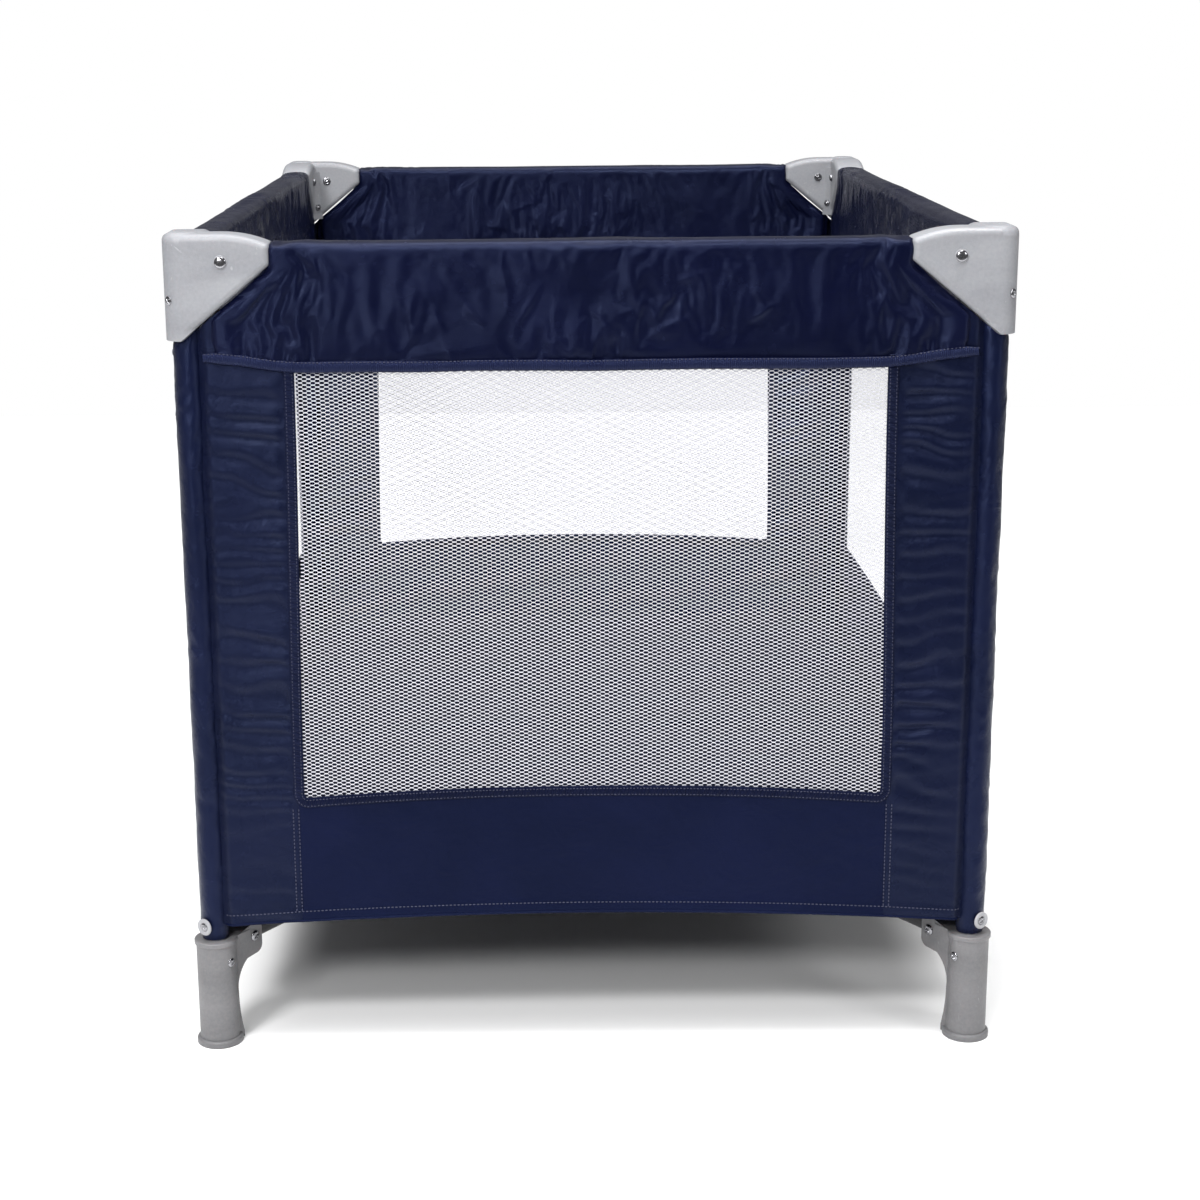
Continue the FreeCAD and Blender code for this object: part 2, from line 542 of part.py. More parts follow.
def latch_housing(side):
    half = SIDES[side][4]
    length = half + LATCH_END
    block = half - LATCH_GAP
    body = box((-length, -LATCH_HALF, LATCH_FLOOR_Z), (length, LATCH_HALF, LATCH_TOP_Z))
    corners = edges_where(body, lambda e: lies_along(e, V(0, 1, 0)))
    body = body.makeFillet(LATCH_ROUND, corners)
    cuts = []
    for end in (-1, 1):
        inner = end * block
        outer = end * (length + CLEAR)
        cuts.append(box((min(inner, outer), -LATCH_INNER_HALF, LATCH_FLOOR_Z + LATCH_FLOOR_T),
                        (max(inner, outer), LATCH_INNER_HALF, LATCH_TOP_Z + CLEAR)))
        pin = V(end * half, 0, RAIL_AXIS_Z)
        reach = V(0, LATCH_HALF + CLEAR, 0)
        cuts.append(rod(LATCH_PIN_R + SEAT_PLAY, pin - reach, pin + reach))
    pocket_half_x = BUTTON_LENGTH / 2 + BUTTON_PLAY
    pocket_half_y = BUTTON_HALF + BUTTON_PLAY
    pocket_top = LATCH_FLOOR_Z + LATCH_POCKET_UP
    cuts.append(box((-pocket_half_x, -pocket_half_y, LATCH_FLOOR_Z - CLEAR),
                    (pocket_half_x, pocket_half_y, pocket_top)))
    return on_side(body.cut(cuts).removeSplitter(), side)


def latch_pins(side):
    half = SIDES[side][4]
    pins = []
    reach = LATCH_HALF + LATCH_PIN_PROUD
    for x in (-half, half):
        pin = rod(LATCH_PIN_R, V(x, -reach, RAIL_AXIS_Z), V(x, reach, RAIL_AXIS_Z))
        rims = edges_where(pin, lambda e: e.Length > LATCH_PIN_R and not lies_along(e, V(0, 1, 0)))
        pins.append(on_side(pin.makeFillet(LATCH_PIN_ROUND, rims), side))
    return Part.makeCompound(pins)


def latch_button(side):
    low = LATCH_FLOOR_Z - BUTTON_TRAVEL - BUTTON_PROUD
    high = LATCH_FLOOR_Z + BUTTON_UP
    button = box((-BUTTON_LENGTH / 2, -BUTTON_HALF, low), (BUTTON_LENGTH / 2, BUTTON_HALF, high))
    rounded = edges_where(button, lambda e: lies_along(e, V(0, 0, 1)))
    button = button.makeFillet(BUTTON_PLAN_R, rounded)
    under = edges_where(button, lambda e: e.CenterOfMass.z < low + SEAT_PLAY)
    return on_side(button.makeFillet(BUTTON_EDGE_R, under), side)


# ---------------------------------------------------------------- soft goods
def wall_cloth(side):
    """Two upright strips and the bottom skirt, as flat sheets round the netting."""
    _, _, _, half_span, _, strip = SIDES[side]
    edge = half_span - WALL_END
    window = half_span - strip
    near = WALL_IN
    far = WALL_IN + WALL_T
    pieces = [
        box((-edge, near, WALL_LOW_Z), (-window, far, WALL_HIGH_Z)),
        box((window, near, WALL_LOW_Z), (edge, far, WALL_HIGH_Z)),
        box((-window, near, WALL_LOW_Z), (window, far, WINDOW_LOW_Z)),
    ]
    return Part.makeCompound([on_side(piece, side) for piece in pieces])


def wall_netting(side):
    _, _, _, half_span, _, strip = SIDES[side]
    window = half_span - strip
    sheet = box((-window, WALL_IN, WINDOW_LOW_Z), (window, WALL_IN + WALL_T, WALL_HIGH_Z))
    return on_side(sheet, side)


def rail_cover(side):
    """A folded cloth channel over the rails, cut back along the caps' slanted edges."""
    half_span = SIDES[side][3]
    top = half_span - COVER_END
    foot_x = half_span - COVER_FOOT_IN
    shoulder_z = CAP_TIP_LOW_Z - COVER_GAP
    foot_z = slant_z(COVER_FOOT_IN) - COVER_FOOT_GAP
    outline = [
        (-top, 0, COVER_TOP_Z), (-top, 0, shoulder_z), (-foot_x, 0, foot_z), (-foot_x, 0, COVER_LOW_Z),
        (foot_x, 0, COVER_LOW_Z), (foot_x, 0, foot_z), (top, 0, shoulder_z), (top, 0, COVER_TOP_Z),
    ]
    half = COVER_IN + COVER_T
    body = prism(outline, V(0, half * 2, 0))
    body.translate(V(0, -half, 0))
    rims = edges_where(body, lambda e: lies_along(e, V(1, 0, 0)) and e.CenterOfMass.z > COVER_TOP_Z - CLEAR)
    body = body.makeFillet(COVER_ROUND, rims)
    ceiling = COVER_TOP_Z - COVER_ROUND
    hollow = box((-half_span, -COVER_IN, COVER_LOW_Z - CLEAR), (half_span, COVER_IN, ceiling))
    return on_side(body.cut(hollow), side)


def floor_cloth():
    half_x = LEG_X + WALL_IN - FLOOR_CLOTH_GAP
    half_y = LEG_Y + WALL_IN - FLOOR_CLOTH_GAP
    top_z = FLOOR_CLOTH_Z + FLOOR_CLOTH_T
    sheet = box((-half_x, -half_y, FLOOR_CLOTH_Z), (half_x, half_y, top_z))
    notches = []
    for sx, sy in CORNERS.values():
        x = sx * (LEG_X + NOTCH_OUT)
        y = sy * (LEG_Y + NOTCH_OUT)
        notches.append(box((x - NOTCH_HALF, y - NOTCH_HALF, FLOOR_CLOTH_Z - CLEAR),
                           (x + NOTCH_HALF, y + NOTCH_HALF, top_z + CLEAR)))
    return sheet.cut(notches)


def mattress():
    half_x = LEG_X - MAT_GAP
    half_y = LEG_Y - MAT_GAP
    pad = box((-half_x, -half_y, MAT_LOW_Z), (half_x, half_y, MAT_LOW_Z + MAT_T))
    corners = edges_where(pad, lambda e: lies_along(e, V(0, 0, 1)))
    pad = pad.makeFillet(MAT_CORNER_R, corners)
    rims = edges_where(pad, lambda e: e.BoundBox.ZLength < FLAT)
    return pad.makeFillet(MAT_EDGE_R, rims)


os.makedirs("parts", exist_ok=True)

for corner, (sx, sy) in CORNERS.items():
    leg_at = V(sx * LEG_X, sy * LEG_Y, 0)
    leg_pieces = {
        "corner_cap": corner_cap(sx, sy),
        "leg_tube": leg_tube(sx, sy),
        "foot": foot(sx, sy),
        "fasteners": leg_fasteners(sx, sy),
        "leg_sleeve": leg_sleeve(),
    }
    for name, shape in leg_pieces.items():
        placed = shape.copy()
        placed.translate(leg_at)
        save(placed, name + "_" + corner)
    save(base_bar(sx, sy), "base_bar_" + corner)
    save(rail_half(corner, V(-sx, 0, 0)), "short_rail_" + corner)
    save(rail_half(corner, V(0, -sy, 0)), "long_rail_" + corner)

save(hub(), "base_hub")
save(hub_bolts(), "base_hub_bolts")
save(floor_cloth(), "floor_cloth")
save(mattress(), "mattress")

for side in SIDES:
    save(latch_housing(side), "latch_housing_" + side)
    save(latch_pins(side), "latch_pins_" + side)
    save(latch_button(side), "latch_button_" + side)
    save(wall_cloth(side), "wall_cloth_" + side)
    save(wall_netting(side), "wall_netting_" + side)
    save(rail_cover(side), "rail_cover_" + side)
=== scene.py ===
"""Looks of the folding playpen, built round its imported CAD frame. Metres, +Z up."""
import json
import math

import bpy
import numpy as np
from mathutils import Matrix, Vector


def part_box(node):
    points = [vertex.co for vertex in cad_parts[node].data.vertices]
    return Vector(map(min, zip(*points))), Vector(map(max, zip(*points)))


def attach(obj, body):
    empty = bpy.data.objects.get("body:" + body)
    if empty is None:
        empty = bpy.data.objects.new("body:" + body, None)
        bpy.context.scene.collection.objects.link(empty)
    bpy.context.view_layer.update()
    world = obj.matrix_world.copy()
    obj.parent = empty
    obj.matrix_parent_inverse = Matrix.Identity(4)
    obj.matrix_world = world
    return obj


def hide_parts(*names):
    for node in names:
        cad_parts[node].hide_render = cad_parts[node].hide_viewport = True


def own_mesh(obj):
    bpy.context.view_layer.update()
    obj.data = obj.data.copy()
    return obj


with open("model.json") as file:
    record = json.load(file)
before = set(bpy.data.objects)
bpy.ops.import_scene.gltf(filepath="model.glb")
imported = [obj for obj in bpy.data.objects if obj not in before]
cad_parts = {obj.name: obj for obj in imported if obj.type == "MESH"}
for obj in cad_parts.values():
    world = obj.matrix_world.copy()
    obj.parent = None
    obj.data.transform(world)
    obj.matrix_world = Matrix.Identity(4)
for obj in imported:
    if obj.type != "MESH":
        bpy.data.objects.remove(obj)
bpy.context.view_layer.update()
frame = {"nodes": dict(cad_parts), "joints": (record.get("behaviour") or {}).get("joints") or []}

MM = 0.001
CORNERS = {
    "front_left": (-1, -1),
    "front_right": (1, -1),
    "rear_left": (-1, 1),
    "rear_right": (1, 1),
}
JOINTS = {joint["name"]: joint for joint in frame["joints"]}

# ------------------------------------------------------------------ sizes read from the frame


def middle(node):
    low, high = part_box(node)
    return (Vector(low) + Vector(high)) / 2


LEG_X = middle("leg_tube_front_right").x
LEG_Y = middle("leg_tube_rear_right").y
DIAGONAL = math.hypot(LEG_X, LEG_Y)
INWARD = {c: Vector((-sx * LEG_X, -sy * LEG_Y, 0)) / DIAGONAL for c, (sx, sy) in CORNERS.items()}
FOOT_PIVOT = Vector(JOINTS["leg_level_front_left"]["pos_m"])
HUB_PIVOT = Vector(JOINTS["base_fold_front_left"]["pos_m"])


class Side:
    """One wall: s runs along it, d outwards from the rails' plane, and z up."""

    def __init__(self, name, outward, along, plane, half, carried_by, seed):
        self.name = name
        self.outward = Vector(outward)
        self.along = Vector(along)
        self.plane = plane
        self.half = half
        self.body = "leg_" + carried_by
        self.seed = seed
        sx, sy = CORNERS[carried_by]
        self.anchor = Vector((sx * LEG_X, sy * LEG_Y, 0))
        self.window = abs(Vector(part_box("wall_netting_" + name)[1]).dot(self.along))
        self.short = half < LEG_Y

    def either(self, short, long):
        """The value for a short side, or the one for a long side."""
        return short if self.short else long

    def points(self, s, d, z):
        """World points for arrays of s, d and z."""
        s, d, z = np.broadcast_arrays(s, d, z)
        out = [self.outward[k] * (self.plane + d) + self.along[k] * s for k in range(2)]
        return np.stack([out[0], out[1], z], axis=-1).reshape(-1, 3)

    def add(self, name, points, faces, finish, uv=None, slot="navy_cloth", replaces=(), smooth=True):
        """A piece of the wall, carried by its leg."""
        piece = add_piece(name, points, faces, finish, self.body, replaces, uv, smooth)
        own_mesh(piece)
        return piece

    def sew(self, name, rows):
        """Rows of stitches as one piece of the wall."""
        points, faces = merged(rows)
        return self.add(name, points, [faces], THREAD, smooth=False)


SIDES = [
    Side("front", (0, -1, 0), (1, 0, 0), LEG_Y, LEG_X, "front_right", 11),
    Side("rear", (0, 1, 0), (-1, 0, 0), LEG_Y, LEG_X, "rear_left", 23),
    Side("left", (-1, 0, 0), (0, -1, 0), LEG_X, LEG_Y, "front_left", 37),
    Side("right", (1, 0, 0), (0, 1, 0), LEG_X, LEG_Y, "rear_right", 53),
]

# ------------------------------------------------------------------ mesh helpers


def new_mesh(name, points, *face_sets, smooth=True):
    """A mesh from an array of points and one array of faces for each number of corners."""
    face_sets = [np.asarray(f, np.int32) for f in face_sets if len(f)]
    points = np.asarray(points, np.float32).reshape(-1, 3)
    sizes = np.concatenate([np.full(len(f), f.shape[1], np.int32) for f in face_sets])
    loops = np.concatenate([f.reshape(-1) for f in face_sets])
    starts = np.concatenate([[0], np.cumsum(sizes)[:-1]]).astype(np.int32)
    mesh = bpy.data.meshes.new(name)
    mesh.vertices.add(len(points))
    mesh.vertices.foreach_set("co", points.reshape(-1))
    mesh.loops.add(len(loops))
    mesh.loops.foreach_set("vertex_index", loops)
    mesh.polygons.add(len(sizes))
    mesh.polygons.foreach_set("loop_start", starts)
    mesh.polygons.foreach_set("loop_total", sizes)
    mesh.update(calc_edges=True)
    mesh.validate()
    mesh.polygons.foreach_set("use_smooth", np.full(len(mesh.polygons), smooth))
    return mesh


def grid_faces(rows, columns, wrap=False):
    """Quads of a grid of points, row after row; wrap joins each row's last point to its first."""
    i, j = np.meshgrid(np.arange(rows - 1), np.arange(columns if wrap else columns - 1), indexing="ij")
    i, j = i.reshape(-1), j.reshape(-1)
    k = (j + 1) % columns
    return np.stack([i * columns + j, i * columns + k, (i + 1) * columns + k, (i + 1) * columns + j], axis=1)


def placed(name, data):
    """An object in the scene with a mesh, a light or a camera."""
    thing = bpy.data.objects.new(name, data)
    bpy.context.scene.collection.objects.link(thing)
    return thing


def add_piece(name, points, faces, finish, body, replaces=(), uv=None, smooth=True):
    """A piece of the playpen on a body, with its finish and the CAD nodes that it stands for.

    faces is a list with one array of faces for each number of corners; uv is a pair of arrays in
    metres, so that weaves run true on every piece.
    """
    mesh = new_mesh(name, points, *faces, smooth=smooth)
    if uv is not None:
        set_uv(mesh, np.stack([part.reshape(-1) for part in uv], axis=1))
    mesh.materials.append(finish)
    piece = placed(name, mesh)
    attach(piece, body)
    if replaces:
        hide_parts(*replaces)
    return piece


def tube_along(path, radius, sides=8, flatten=1.0):
    """Points and quads of a soft tube along a path of points; it narrows at both ends."""
    path = np.asarray(path, float)
    tangent = np.gradient(path, axis=0)
    tangent /= np.linalg.norm(tangent, axis=1, keepdims=True)
    side = np.cross(tangent, (0.0, 0.0, 1.0))
    side /= np.linalg.norm(side, axis=1, keepdims=True)
    top = np.cross(side, tangent)
    angle = np.linspace(0, 2 * math.pi, sides, endpoint=False)
    radius = np.broadcast_to(radius, len(path)).copy()
    radius[0] *= 0.3
    radius[-1] *= 0.3
    ring = (side[:, None, :] * np.cos(angle)[None, :, None] * flatten
            + top[:, None, :] * np.sin(angle)[None, :, None])
    points = path[:, None, :] + ring * radius[:, None, None]
    quads = grid_faces(len(path), sides, wrap=True)
    return points.reshape(-1, 3), quads


def merged(parts):
    """Several (points, faces) pairs as one, faces all with the same number of corners."""
    points, faces, count = [], [], 0
    for p, f in parts:
        points.append(p)
        faces.append(f + count)
        count += len(p)
    return np.concatenate(points), np.concatenate(faces)


def noise(x, y, seed):
    """Smooth value noise from -1 to 1."""
    cells = 64
    table = np.random.default_rng(seed).uniform(-1, 1, (cells, cells))
    x, y = np.broadcast_arrays(np.asarray(x, float), np.asarray(y, float))
    xi, yi = np.floor(x).astype(int), np.floor(y).astype(int)
    fx, fy = x - xi, y - yi
    fx = fx * fx * (3 - 2 * fx)
    fy = fy * fy * (3 - 2 * fy)
    a = table[xi % cells, yi % cells] * (1 - fx) + table[(xi + 1) % cells, yi % cells] * fx
    b = table[xi % cells, (yi + 1) % cells] * (1 - fx) + table[(xi + 1) % cells, (yi + 1) % cells] * fx
    return a * (1 - fy) + b * fy


def ridge(x, y, seed):
    """Noise with sharp crests, from -1 to 1, for pressed creases."""
    return 1 - 2 * np.abs(noise(x, y, seed))


def ramp(t):
    """An eased rise from 0 to 1."""
    t = np.clip(t, 0, 1)
    return t * t * (3 - 2 * t)


def stitches(path, outward, length=2.6 * MM, pitch=3.6 * MM, width=0.55 * MM, lift=0.35 * MM):
    """A row of sewn stitches along a path, as short faceted beads lying on the cloth."""
    path = np.asarray(path, float)
    step = np.linalg.norm(np.diff(path, axis=0), axis=1)
    along = np.concatenate([[0], np.cumsum(step)])
    at = np.arange(pitch / 2, along[-1], pitch)
    mid = np.stack([np.interp(at, along, path[:, k]) for k in range(3)], axis=1)
    ahead = np.stack([np.interp(at + 0.5 * MM, along, path[:, k]) for k in range(3)], axis=1)
    run = ahead - mid
    norm = np.linalg.norm(run, axis=1, keepdims=True)
    run = np.where(norm > 1e-9, run / np.maximum(norm, 1e-9), np.array([[0, 0, 1.0]]))
    out = np.broadcast_to(np.asarray(outward, float), run.shape)
    across = np.cross(run, out)
    across /= np.linalg.norm(across, axis=1, keepdims=True)
    base = mid + out * lift * 0.3
    corners = np.stack([
        base - run * length / 2,
        base + across * width - run * length * 0.25,
        base + across * width + run * length * 0.25,
        base + run * length / 2,
        base - across * width + run * length * 0.25,
        base - across * width - run * length * 0.25,
        base + out * lift - run * length * 0.2,
        base + out * lift + run * length * 0.2,
    ], axis=1)
    faces = np.array([[0, 1, 6], [1, 2, 6], [2, 7, 6], [2, 3, 7], [3, 4, 7], [4, 5, 7], [5, 6, 7], [5, 0, 6]])
    tri = (faces[None] + (np.arange(len(at)) * 8)[:, None, None]).reshape(-1, 3)
    return corners.reshape(-1, 3), tri


def set_uv(mesh, uv):
    """One UV pair for each point."""
    layer = mesh.uv_layers.new(name="cloth")
    corner_points = np.empty(len(mesh.loops), np.int32)
    mesh.loops.foreach_get("vertex_index", corner_points)
    layer.data.foreach_set("uv", np.asarray(uv, np.float32)[corner_points].reshape(-1))


# ------------------------------------------------------------------ materials


def srgb(red, green, blue):
    """A linear colour from 0-255 screen values."""
    def linear(value):
        value /= 255
        return value / 12.92 if value <= 0.04045 else ((value + 0.055) / 1.055) ** 2.4
    return (linear(red), linear(green), linear(blue), 1)


class Shade:
    """A short way to write a node material."""

    def __init__(self, name, **shader):
        self.material = bpy.data.materials.new(name)
        self.material.use_nodes = True
        self.tree = self.material.node_tree
        self.bsdf = self.tree.nodes["Principled BSDF"]
        for socket, value in shader.items():
            self.bsdf.inputs[socket.replace("_", " ")].default_value = value

    def node(self, kind, inputs, **properties):
        node = self.tree.nodes.new(kind)
        for key, value in properties.items():
            setattr(node, key, value)
        for key, value in inputs.items():
            if isinstance(value, bpy.types.NodeSocket):
                self.tree.links.new(value, node.inputs[key])
            else:
                node.inputs[key].default_value = value
        return node

    def coords(self, kind="Object"):
        return self.node("ShaderNodeTexCoord", {}).outputs[kind]

    def scaled(self, vector, scale, turn=0.0):
        inputs = {"Vector": vector, "Scale": scale, "Rotation": (0, 0, turn)}
        return self.node("ShaderNodeMapping", inputs).outputs[0]

    def noise(self, vector, scale, detail=3.0, distortion=0.0, rough=0.5):
        return self.node("ShaderNodeTexNoise", {
            "Vector": vector, "Scale": scale, "Detail": detail, "Distortion": distortion, "Roughness": rough,
        }).outputs["Fac"]

    def voronoi(self, vector, scale):
        return self.node("ShaderNodeTexVoronoi", {"Vector": vector, "Scale": scale}).outputs["Distance"]

    def math(self, operation, first, second=0.0):
        return self.node("ShaderNodeMath", {0: first, 1: second}, operation=operation).outputs[0]

    def stretch(self, value, to_low=0.0, to_high=1.0, low=0.3, high=0.7):
        """The middle of a noise's range, spread over the wanted range."""
        return self.node("ShaderNodeMapRange", {
            "Value": value, "From Min": low, "From Max": high, "To Min": to_low, "To Max": to_high,
        }).outputs["Result"]

    def weighted(self, *pairs):
        """The sum of each value times its weight."""
        total = None
        for value, weight in pairs:
            part = self.math("MULTIPLY", value, weight)
            total = part if total is None else self.math("ADD", total, part)
        return total

    def dyed(self, share, dark, light):
        """A mix of two colours given as 0-255 screen values."""
        return self.mix(share, srgb(*dark), srgb(*light))

    def mix(self, share, first, second):
        node = self.node("ShaderNodeMix", {}, data_type="RGBA")
        sockets = [x for x in node.inputs if x.enabled]
        for socket, value in zip(sockets, (share, first, second)):
            if isinstance(value, bpy.types.NodeSocket):
                self.tree.links.new(value, socket)
            else:
                socket.default_value = value
        return [x for x in node.outputs if x.enabled][0]

    def bump(self, height, strength, distance, normal=None):
        inputs = {"Height": height, "Strength": strength, "Distance": distance}
        if normal is not None:
            inputs["Normal"] = normal
        return self.node("ShaderNodeBump", inputs).outputs["Normal"]

    def plug(self, socket, value):
        self.tree.links.new(value, self.bsdf.inputs[socket])


NAVY_GLINT = (0.38, 0.48, 0.92, 1)
SCUFFED_PLASTIC = (0.75, 0.75, 0.76, 1)
RUBBED_STEEL = (0.32, 0.32, 0.33, 1)


def cloth_material(name, dark, light, rough, shine, pitch, crease, ribs=0.0):
    """Satin-faced woven polyester: weave, pressed creases, uneven dye and a soft sheen."""
    m = Shade(name, Sheen_Weight=0.012, Sheen_Roughness=0.4, Sheen_Tint=(0.4, 0.5, 1, 1),
              Specular_IOR_Level=shine, Specular_Tint=NAVY_GLINT)
    uv = m.coords("UV")
    split = m.node("ShaderNodeSeparateXYZ", {0: uv})
    turns = 2 * math.pi / pitch
    warp = m.math("SINE", m.math("MULTIPLY", split.outputs[0], turns))
    weft = m.math("SINE", m.math("MULTIPLY", split.outputs[1], turns))
    weave = m.math("MULTIPLY", warp, weft)
    body = m.coords("Object")
    patch = m.noise(body, 11.0, 4.0, 0.4)
    slub = m.noise(m.scaled(uv, (60.0, 900.0, 1.0)), 1.0, 2.0)
    fine = m.noise(body, 900.0, 2.0)
    tone = m.weighted((patch, 0.6), (slub, 0.25), (fine, 0.15), (weave, 0.05))
    m.plug("Base Color", m.dyed(m.stretch(tone), dark, light))
    m.plug("Roughness", m.stretch(m.noise(body, 45.0, 4.0), rough - 0.06, rough + 0.07))
    soft = m.bump(m.noise(body, 38.0, 5.0, 1.2, 0.55), crease, 0.004)
    grain = m.bump(weave, 0.28, 0.00025, soft)
    if ribs:
        rib = m.math("SINE", m.math("MULTIPLY", split.outputs[0], 2 * math.pi / ribs))
        grain = m.bump(rib, 0.6, 0.0006, grain)
    m.plug("Normal", grain)
    return m.material


def plastic_material(name, dark, light, rough, grain_scale, grain_depth):
    """Moulded plastic with a sparked grain, faint flow marks, scuffs and handling wear."""
    m = Shade(name, Specular_IOR_Level=0.5, Subsurface_Weight=0.02)
    body = m.coords("Object")
    flow = m.noise(m.scaled(body, (6.0, 6.0, 22.0)), 1.0, 4.0, 0.8)
    speck = m.noise(body, 380.0, 3.0)
    tone = m.weighted((flow, 0.7), (speck, 0.3))
    colour = m.dyed(m.stretch(tone, low=0.32, high=0.68), dark, light)
    scuff = m.math("GREATER_THAN", m.noise(m.scaled(body, (40.0, 300.0, 60.0), 0.7), 1.0, 5.0, 2.0), 0.70)
    m.plug("Base Color", m.mix(m.math("MULTIPLY", scuff, 0.16), colour, SCUFFED_PLASTIC))
    wear = m.noise(body, 30.0, 5.0, 0.5)
    m.plug("Roughness", m.stretch(wear, rough - 0.07, rough + 0.08))
    bumps = m.bump(m.voronoi(body, grain_scale), 0.35, grain_depth)
    m.plug("Normal", m.bump(flow, 0.12, 0.0008, bumps))
    return m.material


def painted_steel(name, dark, light, rough):
    """Powder-coated tube: orange peel under a satin coat, with a few rubbed marks."""
    m = Shade(name, Metallic=0.15, Coat_Weight=0.25, Coat_Roughness=0.2)
    body = m.coords("Object")
    tone = m.noise(body, 24.0, 4.0)
    rub = m.math("GREATER_THAN", m.noise(m.scaled(body, (30.0, 30.0, 260.0)), 1.0, 4.0, 1.5), 0.71)
    colour = m.dyed(m.stretch(tone), dark, light)
    m.plug("Base Color", m.mix(m.math("MULTIPLY", rub, 0.35), colour, RUBBED_STEEL))
    m.plug("Roughness", m.stretch(m.noise(body, 60.0, 4.0), rough - 0.06, rough + 0.1))
    m.plug("Normal", m.bump(m.noise(body, 750.0, 2.0), 0.18, 0.0004))
    return m.material


def bright_metal(name, tint, rough):
    """Nickel-plated steel: turned marks and fine scratches."""
    m = Shade(name, Metallic=1.0)
    body = m.coords("Object")
    cloud = m.noise(body, 160.0, 4.0)
    lines = m.noise(m.scaled(body, (1200.0, 90.0, 1200.0), 0.5), 1.0, 3.0)
    plate = srgb(*tint)
    darker = tuple(c * 0.72 for c in plate[:3]) + (1,)
    m.plug("Base Color", m.mix(m.stretch(cloud), darker, plate))
    m.plug("Roughness", m.stretch(lines, rough - 0.05, rough + 0.12))
    m.plug("Normal", m.bump(lines, 0.08, 0.0002))
    return m.material


def thread_material(name, dark, light):
    """Twisted polyester thread, with a pale fibrous sheen."""
    m = Shade(name, Sheen_Weight=0.35, Specular_IOR_Level=0.35)
    body = m.coords("Object")
    twist = m.noise(m.scaled(body, (900.0, 900.0, 2400.0)), 1.0, 3.0)
    m.plug("Base Color", m.dyed(m.stretch(twist), dark, light))
    m.plug("Roughness", m.stretch(m.noise(body, 300.0, 2.0), 0.48, 0.66))
    m.plug("Normal", m.bump(twist, 0.4, 0.0002))
    return m.material


WEAVE = 0.9 * MM            # pitch of the navy cloths' weave
TAPE_WEAVE = 0.7 * MM
VALANCE = cloth_material("valance_satin", (4, 6, 25), (9, 12, 37), 0.22, 0.23, WEAVE, 0.16)
STRIP = cloth_material("gathered_strip_cloth", (6, 10, 28), (12, 16, 38), 0.27, 0.24, WEAVE, 0.25)
SKIRT = cloth_material("skirt_cloth", (6, 11, 33), (12, 17, 43), 0.44, 0.13, WEAVE, 0.3)
SLEEVE = cloth_material("leg_sleeve_cloth", (5, 9, 29), (10, 15, 40), 0.22, 0.30, WEAVE, 0.35)
BINDING = cloth_material("binding_tape", (7, 10, 30), (13, 17, 42), 0.5, 0.2, TAPE_WEAVE, 0.3, 1.4 * MM)
PIPING = cloth_material("ribbed_piping", (17, 21, 46), (27, 32, 60), 0.32, 0.3, TAPE_WEAVE, 0.3, 1.8 * MM)
MAT = cloth_material("mat_cover", (3, 5, 16), (8, 10, 26), 0.62, 0.04, 1.3 * MM, 0.4)
LINING = cloth_material("floor_canvas", (7, 8, 18), (13, 15, 28), 0.7, 0.06, 1.1 * MM, 0.4)
NET = thread_material("white_tulle", (178, 178, 186), (200, 200, 208))
THREAD = thread_material("navy_thread", (20, 25, 52), (36, 41, 72))
CAP = plastic_material("cap_grey", (128, 129, 134), (148, 149, 153), 0.42, 900.0, 0.00018)
FOOT = plastic_material("foot_grey", (90, 90, 92), (113, 112, 114), 0.5, 700.0, 0.00022)
HUB = plastic_material("hub_charcoal", (44, 45, 49), (66, 67, 72), 0.48, 700.0, 0.00022)
LATCH = plastic_material("latch_charcoal", (52, 53, 58), (76, 77, 82), 0.46, 800.0, 0.0002)
BUTTON = plastic_material("button_grey", (128, 129, 134), (158, 159, 164), 0.4, 900.0, 0.00015)
RING = plastic_material("washer_grey", (132, 132, 136), (158, 158, 162), 0.45, 900.0, 0.00012)
TUBE = painted_steel("tube_enamel", (120, 122, 128), (146, 148, 154), 0.36)
BAR = painted_steel("bar_enamel", (28, 28, 31), (44, 44, 48), 0.4)
NICKEL = bright_metal("nickel", (150, 150, 154), 0.16)

CAD_FINISH = {
    "corner_cap": CAP,
    "foot": FOOT,
    "leg_tube": TUBE,
    "base_bar": BAR,
    "short_rail": TUBE,
    "long_rail": TUBE,
    "base_hub": HUB,
    "latch_housing": LATCH,
    "latch_button": BUTTON,
}
for node_name, node_object in frame["nodes"].items():
    for prefix, finish in CAD_FINISH.items():
        if node_name.startswith(prefix):
            node_object.data.materials.clear()
            node_object.data.materials.append(finish)

# ------------------------------------------------------------------ the walls' cloth

CAP_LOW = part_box("corner_cap_front_left")[0].z
COVER_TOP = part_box("rail_cover_front")[1].z
COVER_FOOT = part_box("rail_cover_front")[0].z
CAP_SLOPE = 0.823           # rise of the caps' slanted edges for each step along the wall
CLOTH_D = 13.2 * MM         # the walls' cloth, out from the rails' plane
BAND = 9.5 * MM             # width of the binding round a window
SEAM = BAND * 0.6           # where strips and skirt meet under the binding
SEAM_ROWS = (0.0, 5.0 * MM)
PUCKER_PITCH = 6.4 * MM     # along the binding
HEM = 11 * MM
HEM_LOWEST = 0.1185
GATHER_PITCH = 20 * MM      # from one gather of a strip to the next
STRIP_HIGHEST = 0.690       # the strips end here, behind the rail covers
WINDOW_TOP = COVER_FOOT + 12 * MM
NET_TOP = COVER_FOOT + 5 * MM
NET_LOWEST = 0.232          # rows of holes are laid out down to here, then cut at the foot
NET_FOOT = 0.245            # about where the net's lower corners are


